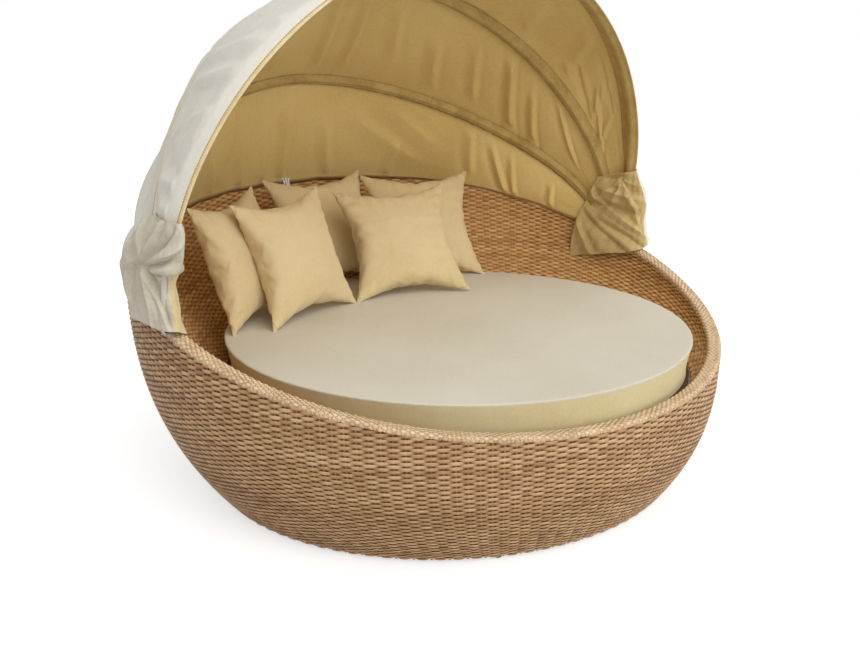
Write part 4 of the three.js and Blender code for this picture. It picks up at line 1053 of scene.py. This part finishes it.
def sleevePiece(name, before, after, bodies):
    look, bow, seed, middle = sleeve[name], bows[name], sleeve[name]["seed"], sleeve["middle"]
    sweepLow = sleeve["start"] * math.pi
    profile = np.array(sleeve["profile"]) / 1000
    ruck, fine = waves(seed, 10, 150, 300), waves(seed + 3, 10, 320, 620)
    lips, drift = waves(seed + 5, 10, 90, 260), waves(seed + 6, 6, 6, 24)

    for k, half in enumerate(("back", "front")):
        def place(i, j, ahead=k):
            j = j + ahead * middle
            sweep = sweepLow + (math.pi - 2 * sweepLow) * i / sleeve["columns"]
            out, side = bowAxes(bow, sweep)
            edge = np.abs(j - middle) / middle
            narrow = np.where(edge > 0.6, np.clip(0.50 + np.abs(np.sin(sweep)) * 1.1, 0.50, 1) * look["wide"], 1.0)
            share = (sweep / math.pi - panels["start"]) / panels["span"]
            across = profile[j, 0] * narrow * (1 + look["lips"] * lips(sweep) * edge + 0.06 * drift(sweep))
            level = np.where(j < middle, clothLevel(name, before(share), share, -across, look["sags"][0]),
                             clothLevel(name, after(share), share, across, look["sags"][1]))
            lift = np.where(edge > 0.6, level - profile[j, 1] * narrow, profile[j, 1])
            lean = sweep + 0.5 * across
            puff = look["ruche"] * (0.7 * ruck(lean) + 0.9 * fine(lean)) * (0.55 + 0.45 * drift(sweep * 1.7))
            puff = puff * np.where(edge > 0.9, 0.35, 1.0) - look["ruche"] * 0.4
            points = bowPoint(bow, sweep, 0) + out * (lift + puff)[:, None] + side * across[:, None]
            hold = heldShare(points, bow["angle"], foldAngle(after(share))) if ahead else \
                heldShare(points, foldAngle(before(share)), bow["angle"], look["lowGrip"])
            return points, stacked(sweep, across), dict(hold=hold)

        made = gridPiece("canopy_sleeve_" + name + "_" + half, sleeve["columns"], middle, place)
        applied(made, "SOLIDIFY", thickness=0.0012, offset=0.0)
        setMaterials(made, sleeveShaded)
        blendByHold(made, *bodies[k:k + 2])


sleevePiece("rear", lambda share: backRoute(share)[-1], lambda share: clothOn("mid", share),
            ("bed", "rear_bow", "mid_bow"))
sleevePiece("mid", lambda share: clothOn("rear", share), lambda share: clothOn("front", share),
            ("rear_bow", "mid_bow", "front_bow"))
print("sleeves done")

# Corner flaps: cloth gathered round each pivot, with one leg inside the bowl and one outside it
# A ring, in mm, is the height of its inner back, nose and outer back, then x and y from inner back to outer back
flap = dict(
    columns=220, rows=100, aspect=0.55,
    right=dict(
        rings=[
            (908, 945, 950, 1010, 76, 1018, 22, 1028, -36, 1058, -78, 1082, -52, 1093, 10, 1097, 90),
            (862, 900, 905, 1004, 98, 1014, 30, 1026, -54, 1056, -100, 1083, -75, 1096, 5, 1100, 100),
            (810, 850, 855, 998, 124, 1006, 40, 1020, -78, 1056, -126, 1085, -95, 1098, 0, 1102, 115),
            (765, 800, 805, 989, 144, 998, 40, 1014, -92, 1054, -138, 1086, -100, 1099, 5, 1102, 130),
            (710, 745, 762, 976, 160, 988, 40, 1006, -94, 1048, -136, 1086, -100, 1098, 10, 1100, 135),
            (652, 700, 728, 963, 166, 974, 30, 996, -110, 1042, -148, 1087, -108, 1097, 10, 1099, 138),
            (572, 660, 702, 951, 164, 964, 22, 984, -128, 1032, -172, 1088, -120, 1097, 10, 1099, 138)],
        creases=[
            (100, 190, 490, 420, 10, 30), (40, 360, 400, 560, -13, 32), (0, 190, 490, 880, 9, 22),
            (40, 520, 300, 980, -8, 22), (130, 50, 340, 30, -16, 30), (160, 620, 470, 1020, -8, 20),
            (20, 660, 140, 1020, 7, 20), (280, 160, 420, 700, 7, 24), (930, 400, 620, 40, 9, 28),
            (920, 450, 580, 960, -10, 28), (940, 420, 780, 20, -8, 24), (940, 460, 800, 1020, 8, 26)],
        gathers=[(0.30, 0.10, 9, 0.0085, 0.26, 0.9), (0.62, 0.06, 7, 0.006, 0.16, 0.2)],
        seed=161, facing=(0.0, 0.5, 0.0), flat=(0.60, 0.38)),
    left=dict(
        rings=[
            (1010, 1024, 1030, 1032, 12, 1036, -40, 1046, -90, 1064, -118, 1084, -84, 1066, 10, 1004, 108),
            (970, 982, 990, 1026, 52, 1032, -20, 1042, -90, 1060, -122, 1088, -90, 1086, 5, 1056, 121),
            (920, 930, 937, 1016, 88, 1024, 0, 1034, -60, 1054, -104, 1091, -76, 1098, 14, 1090, 140),
            (875, 884, 890, 1006, 108, 1014, 20, 1026, -40, 1048, -78, 1088, -60, 1100, 24, 1103, 160),
            (846, 858, 862, 998, 118, 1008, 30, 1020, -4, 1040, -32, 1072, -20, 1096, 46, 1105, 172),
            (768, 800, 806, 990, 138, 998, 60, 1016, 12, 1040, -20, 1076, -8, 1097, 50, 1104, 160),
            (690, 740, 752, 982, 154, 990, 70, 1014, -2, 1044, -40, 1082, -24, 1097, 40, 1101, 143),
            (610, 686, 704, 966, 158, 980, 70, 1005, -12, 1046, -48, 1086, -30, 1097, 38, 1100, 140)],
        creases=[
            (880, 400, 720, 0, 13, 18), (860, 420, 600, 60, -12, 17), (860, 430, 550, 220, 13, 18),
            (840, 440, 620, 340, -11, 17), (870, 380, 970, 100, 9, 20), (880, 360, 840, 20, -8, 18),
            (800, 500, 540, 440, 12, 20), (780, 540, 520, 520, -16, 22), (850, 460, 720, 720, -14, 22),
            (730, 640, 600, 950, -12, 24), (880, 460, 970, 840, -8, 26), (840, 480, 800, 980, 9, 26),
            (100, 200, 460, 600, 9, 28), (50, 400, 400, 900, -9, 26)],
        gathers=[],
        seed=171, facing=(0.40, 0.57, 0.55), flat=(0.56, 0.37)))


def smoothThrough(values, at):  # a curve through evenly spaced values
    values = np.asarray(values, float)
    last = len(values) - 1
    at = np.clip(at, 0, 1) * last
    k = np.minimum(at.astype(int), last - 1)
    f = at - k
    if values.ndim > 1:
        f = f[:, None]
    a, b = values[np.maximum(k - 1, 0)], values[k]
    c, d = values[k + 1], values[np.minimum(k + 2, last)]
    return b + 0.5 * f * (c - a + f * (2 * a - 5 * b + 4 * c - d + f * (3 * (b - c) + d - a)))


def gatherFolds(u, v, gathers):  # folds that run out from a point: its place, folds round it, depth and reach
    total = np.zeros_like(u)
    for place, level, count, depth, reach, start in gathers:
        across, along = u - place, (v - level) * flap["aspect"]
        away = np.hypot(across, along)
        angle = np.arctan2(along, across)
        swing = angle * count + start + 1.1 * np.sin(2 * angle + start) + 5.0 * away
        ridge = 1 - 2 * np.abs(np.sin(swing / 2)) ** 0.75
        total += depth * ridge * away / (away + 0.025) * np.exp(-(away / reach) ** 1.5)
        total -= 1.4 * depth * np.exp(-(away / 0.022) ** 2)
    return total * smoothStep(v, 0.03, 0.24)


def flapSurface(look, hand):
    def surface(share, row):
        rings = []
        for ring in np.array(look["rings"]) / 1000:
            inner, nose, outer = ring[:3]
            level = smoothThrough([inner, (inner + nose) / 2, nose, (nose + outer) / 2, outer], share)
            rings.append(np.column_stack([smoothThrough(ring[3:].reshape(-1, 2), share), level]))
        rings = np.array(rings)
        points = np.stack([smoothThrough(rings[:, c], row) for c in range(len(share))], axis=1)
        u, v = np.meshgrid(share, row)
        a, b = waves(look["seed"], 5, 20, 50), waves(look["seed"] + 2, 6, 50, 110)
        fan = u + 0.12 * (u - 0.85) * np.abs(v - 0.4)
        shift = 1.25 * creaseField(u, v, look["creases"], flap["aspect"]) + gatherFolds(u, v, look["gathers"])
        shift = shift + 0.0030 * a(fan) + 0.0014 * b(fan + 0.3 * v)
        hem = smoothStep(v, 0.965, 0.985) - smoothStep(v, 0.985, 1.0)
        points = points - gridNormals(points) * (shift * smoothStep(v, 0.0, 0.06) + 0.0006 * hem)[..., None]
        if hand < 0:
            points[..., 0] *= -1
            points = points[:, ::-1]
        return points
    return surface


# painted light: a lighter golden copy of the inside cloth for the directly lit inner side of the left flap
flapInLit = clothFinish("flapInside", (226, 206, 160), (219, 198, 150), (208, 186, 136), wide=8.0, crumple=0.35)
# painted shade: a darker, more saturated copy of the flaps' inside cloth for the right flap
flapInShaded = clothFinish("flapInsideRightShaded", (212, 188, 136), (203, 178, 125), (186, 160, 106),
                       sheen=0.05, wide=8.0, crumple=0.4)
# painted shade: a darker beige copy of the canopy's outer cloth for the left flap's outside
flapOutShaded = clothFinish("flapOutsideShaded", (216, 208, 192), (209, 200, 182), (194, 184, 164), wide=8.0, crumple=0.4)
for side, hand, outside, inside in (("left", -1, flapOutShaded, flapInLit), ("right", 1, canopyOut, flapInShaded)):
    look = flap[side]

    # faces in the facing region show the flap's painted lit or shaded inside copy instead of the golden inside cloth
    def facingFaces(i, j, look=look, hand=hand):
        u = (i + 0.5) / flap["columns"]
        u = 1 - u if hand < 0 else u
        low, high, top = look["facing"]
        return np.where((u > low) & (u < high) & ((j + 0.5) / flap["rows"] > top), 1, 0)

    made = clothPiece("gathered_flap_" + side, dict(look, columns=flap["columns"]), flap["rows"],
                      flapSurface(look, hand), None, ["bed"], ["corner_flap_" + side],
                      [canopyInGlow, outside, inside], dress=facingFaces)
    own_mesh(made)
print("flaps done")

# Tie strap over the back of the rim
strap = dict(width=0.0085, wall=0.0012, gap=0.0016, strands=3, drop=0.046, lane=0.07, apart=0.0135)


def strapPiece():
    parts = []
    for k in range(strap["strands"]):
        lane = strap["lane"] + (k - 1) * strap["apart"]
        lift = strap["gap"] + (k % 2) * 0.0012

        def place(i, j, lane=lane, lift=lift, k=k):
            inside, above = bed["band"] + lift, -lift - 0.005
            path = [(inside + 0.010, strap["drop"] + 0.006 * k), (inside + 0.010, 0.018),
                    (inside + 0.006, 0.002 - lift), (bed["band"] / 2, above), (0.002, above),
                    (-lift - 0.006, 0.006), (-lift - 0.006, 0.030)]
            route = smoothThrough(path, i / 40)
            turn = lane + (j / 4 - 0.5) * strap["width"] + 0.004 * np.sin(i * 0.3 + k)
            curl = 0.0012 * np.cos(math.pi * (j / 4 - 0.5))
            return rimPoint(turn, route[:, 0], route[:, 1] - curl), stacked(i * 0.004, j * 0.003), {}

        part = gridPiece("strap_part", 40, 4, place)
        applied(part, "SOLIDIFY", thickness=strap["wall"], offset=0.0)
        parts.append(part)
    made = joinAll("tie_strap_strands", parts)
    onBed(made, canopyOut, "tie_strap")


strapPiece()
print("strap done")

# Zip of the mattress cover
zipper = dict(radius=0.7835, height=0.4410, half=0.5, teeth=150, columns=160, profile=[
    (-0.0045, 0.0), (-0.0022, 0.0006), (-0.0008, 0.0004), (0.0008, 0.0004), (0.0022, 0.0006), (0.0045, 0.0)])


def zipPiece():
    def tapePlace(i, j):
        angle = (i / zipper["columns"] - 0.5) * 2 * zipper["half"]
        profile = np.array(zipper["profile"])
        r = zipper["radius"] + profile[j, 1]
        points = stacked(r * np.sin(angle), r * np.cos(angle) + mattress["centreY"], zipper["height"] + profile[j, 0])
        return points, stacked(angle, profile[j, 0]), {}

    tape = gridPiece("zip_tape", zipper["columns"], len(zipper["profile"]) - 1, tapePlace, flip=True)
    applied(tape, "SOLIDIFY", thickness=0.0012, offset=0.0)
    bpy.ops.object.select_all(action="DESELECT")
    bpy.ops.mesh.primitive_cube_add(size=1, scale=(0.0022, 0.0012, 0.0016))
    tooth = bpy.context.object
    bpy.ops.object.transform_apply(scale=True)
    applied(tooth, "BEVEL", width=0.0003, segments=1)
    base = meshPoints(tooth)
    teeth = []
    for k in range(zipper["teeth"]):
        angle = (k / (zipper["teeth"] - 1) - 0.5) * 2 * (zipper["half"] - 0.004)
        spun = (base + [0, zipper["radius"] + 0.0011, 0.0007 * (-1) ** k]) @ turned("Z", -math.degrees(angle)).T
        teeth.append(copyOf(tooth))
        setPoints(teeth[-1], spun + [0, mattress["centreY"], zipper["height"]])
    removeThis(tooth)
    return joinAll("mattress_zip_chain", [tape] + teeth)


zipFinish = metalFinish("zipFinish", (206, 190, 150), (186, 168, 128), 0.0, 0.6)
onBed(zipPiece(), zipFinish, "mattress_zip")
print("zip done")

# Better finishes for the CAD nodes that stay
finishes = dict(
    tube=metalFinish("tubeFinish", (168, 152, 130), (146, 130, 108), 0.1, 0.5),
    deck=metalFinish("deckFinish", (112, 72, 42), (84, 54, 31), 0.0, 0.95, 30.0),
    glide=metalFinish("glideFinish", (52, 50, 48), (34, 33, 32), 0.0, 0.7),
    bow=metalFinish("bowFinish", (196, 190, 178), (172, 165, 152), 0.5, 0.45),
    steel=metalFinish("steelFinish", (190, 192, 195), (150, 152, 156), 0.9, 0.3),
    spacer=metalFinish("spacerFinish", (58, 57, 60), (38, 38, 40), 0.0, 0.6))
starts = [("base_ring", "tube"), ("deck_ring", "tube"), ("rim_ring", "tube"), ("wall_rib", "tube"),
          ("deck_leg", "tube"), ("deck_beam", "tube"), ("seat_deck", "deck"), ("glide", "glide"),
          ("bow_", "bow"), ("pivot_spacer", "spacer"), ("pivot_", "steel"), ("bracket_screw", "steel")]
for name, node in nodes.items():
    for start, finish in starts:
        if name.startswith(start):
            setMaterials(node, finishes[finish])
            break
print("frame finishes done")

# Floor, light and camera
studio = dict(floor=14.0, floorTone=0.62, floorGlow=0.62, skyStrength=0.50,
              lamps=dict(keyLight=((-0.9, -4.6, 2.3), 1.35, 50), topLight=((-0.4, -1.4, 4.0), 0.80, 70),
                         sideLight=((3.6, -3.4, 2.3), 0.40, 60)))
photo = dict(place=(-2.80995, -3.02736, 1.70009), right=(0.73286, -0.68038, 0.00167),
             up=(0.19525, 0.21266, 0.95742), ahead=(0.65176, 0.70133, -0.28870),
             sensor=36, focalPixels=1199.62, widthPixels=860)


def directView(tree):  # 1 for what the camera sees directly, in a mirror or through glass
    path = addNode(tree, "LightPath").outputs
    return mathOf(tree, "MAXIMUM", mathOf(tree, "MAXIMUM", path["Is Camera Ray"], path["Is Glossy Ray"]),
                  path["Is Transmission Ray"])


bpy.ops.object.select_all(action="DESELECT")
bpy.ops.mesh.primitive_plane_add(size=studio["floor"], location=(0, 0, -0.0005))
floor = bpy.context.object
floor.name = "studio_floor"
floorFinish, tree, shader = newMaterial("studioFloor", 0.9)
shader.inputs["Base Color"].default_value = grey(studio["floorTone"])
strength = mathOf(tree, "MULTIPLY", directView(tree), studio["floorGlow"])
glow = addNode(tree, "Emission", {"Color": grey(1), "Strength": strength})
both = addNode(tree, "AddShader", {0: shader.outputs[0], 1: glow.outputs[0]})
tree.links.new(both.outputs[0], tree.nodes["Material Output"].inputs["Surface"])
setMaterials(floor, floorFinish)

world = bpy.data.worlds.new("studioWorld")
bpy.context.scene.world = world
world.use_nodes = True
tree = world.node_tree
sky = tree.nodes["Background"]
sky.inputs["Color"].default_value = grey(1)
power = addNode(tree, "MapRange", {"Value": directView(tree), "To Min": studio["skyStrength"], "To Max": 1.0})
feed(tree, sky.inputs["Strength"], power.outputs["Result"])

for name, (place, strength, angle) in studio["lamps"].items():
    bpy.ops.object.select_all(action="DESELECT")
    bpy.ops.object.light_add(type="SUN", location=place)
    lamp = bpy.context.object
    lamp.name = name
    lamp.data.energy = strength
    lamp.data.angle = math.radians(angle)
    lamp.rotation_euler = (-Vector(place)).to_track_quat("-Z", "Y").to_euler()

bpy.ops.object.camera_add(location=photo["place"])
camera = bpy.context.object
camera.name = "photoCamera"
turnTo = Matrix((photo["right"], photo["up"], [-value for value in photo["ahead"]])).transposed()
camera.rotation_euler = turnTo.to_euler()
camera.data.sensor_width = photo["sensor"]
camera.data.lens = photo["focalPixels"] / photo["widthPixels"] * photo["sensor"]
bpy.context.scene.camera = camera
bpy.context.scene.view_settings.view_transform = "Standard"
print("stage and camera done")
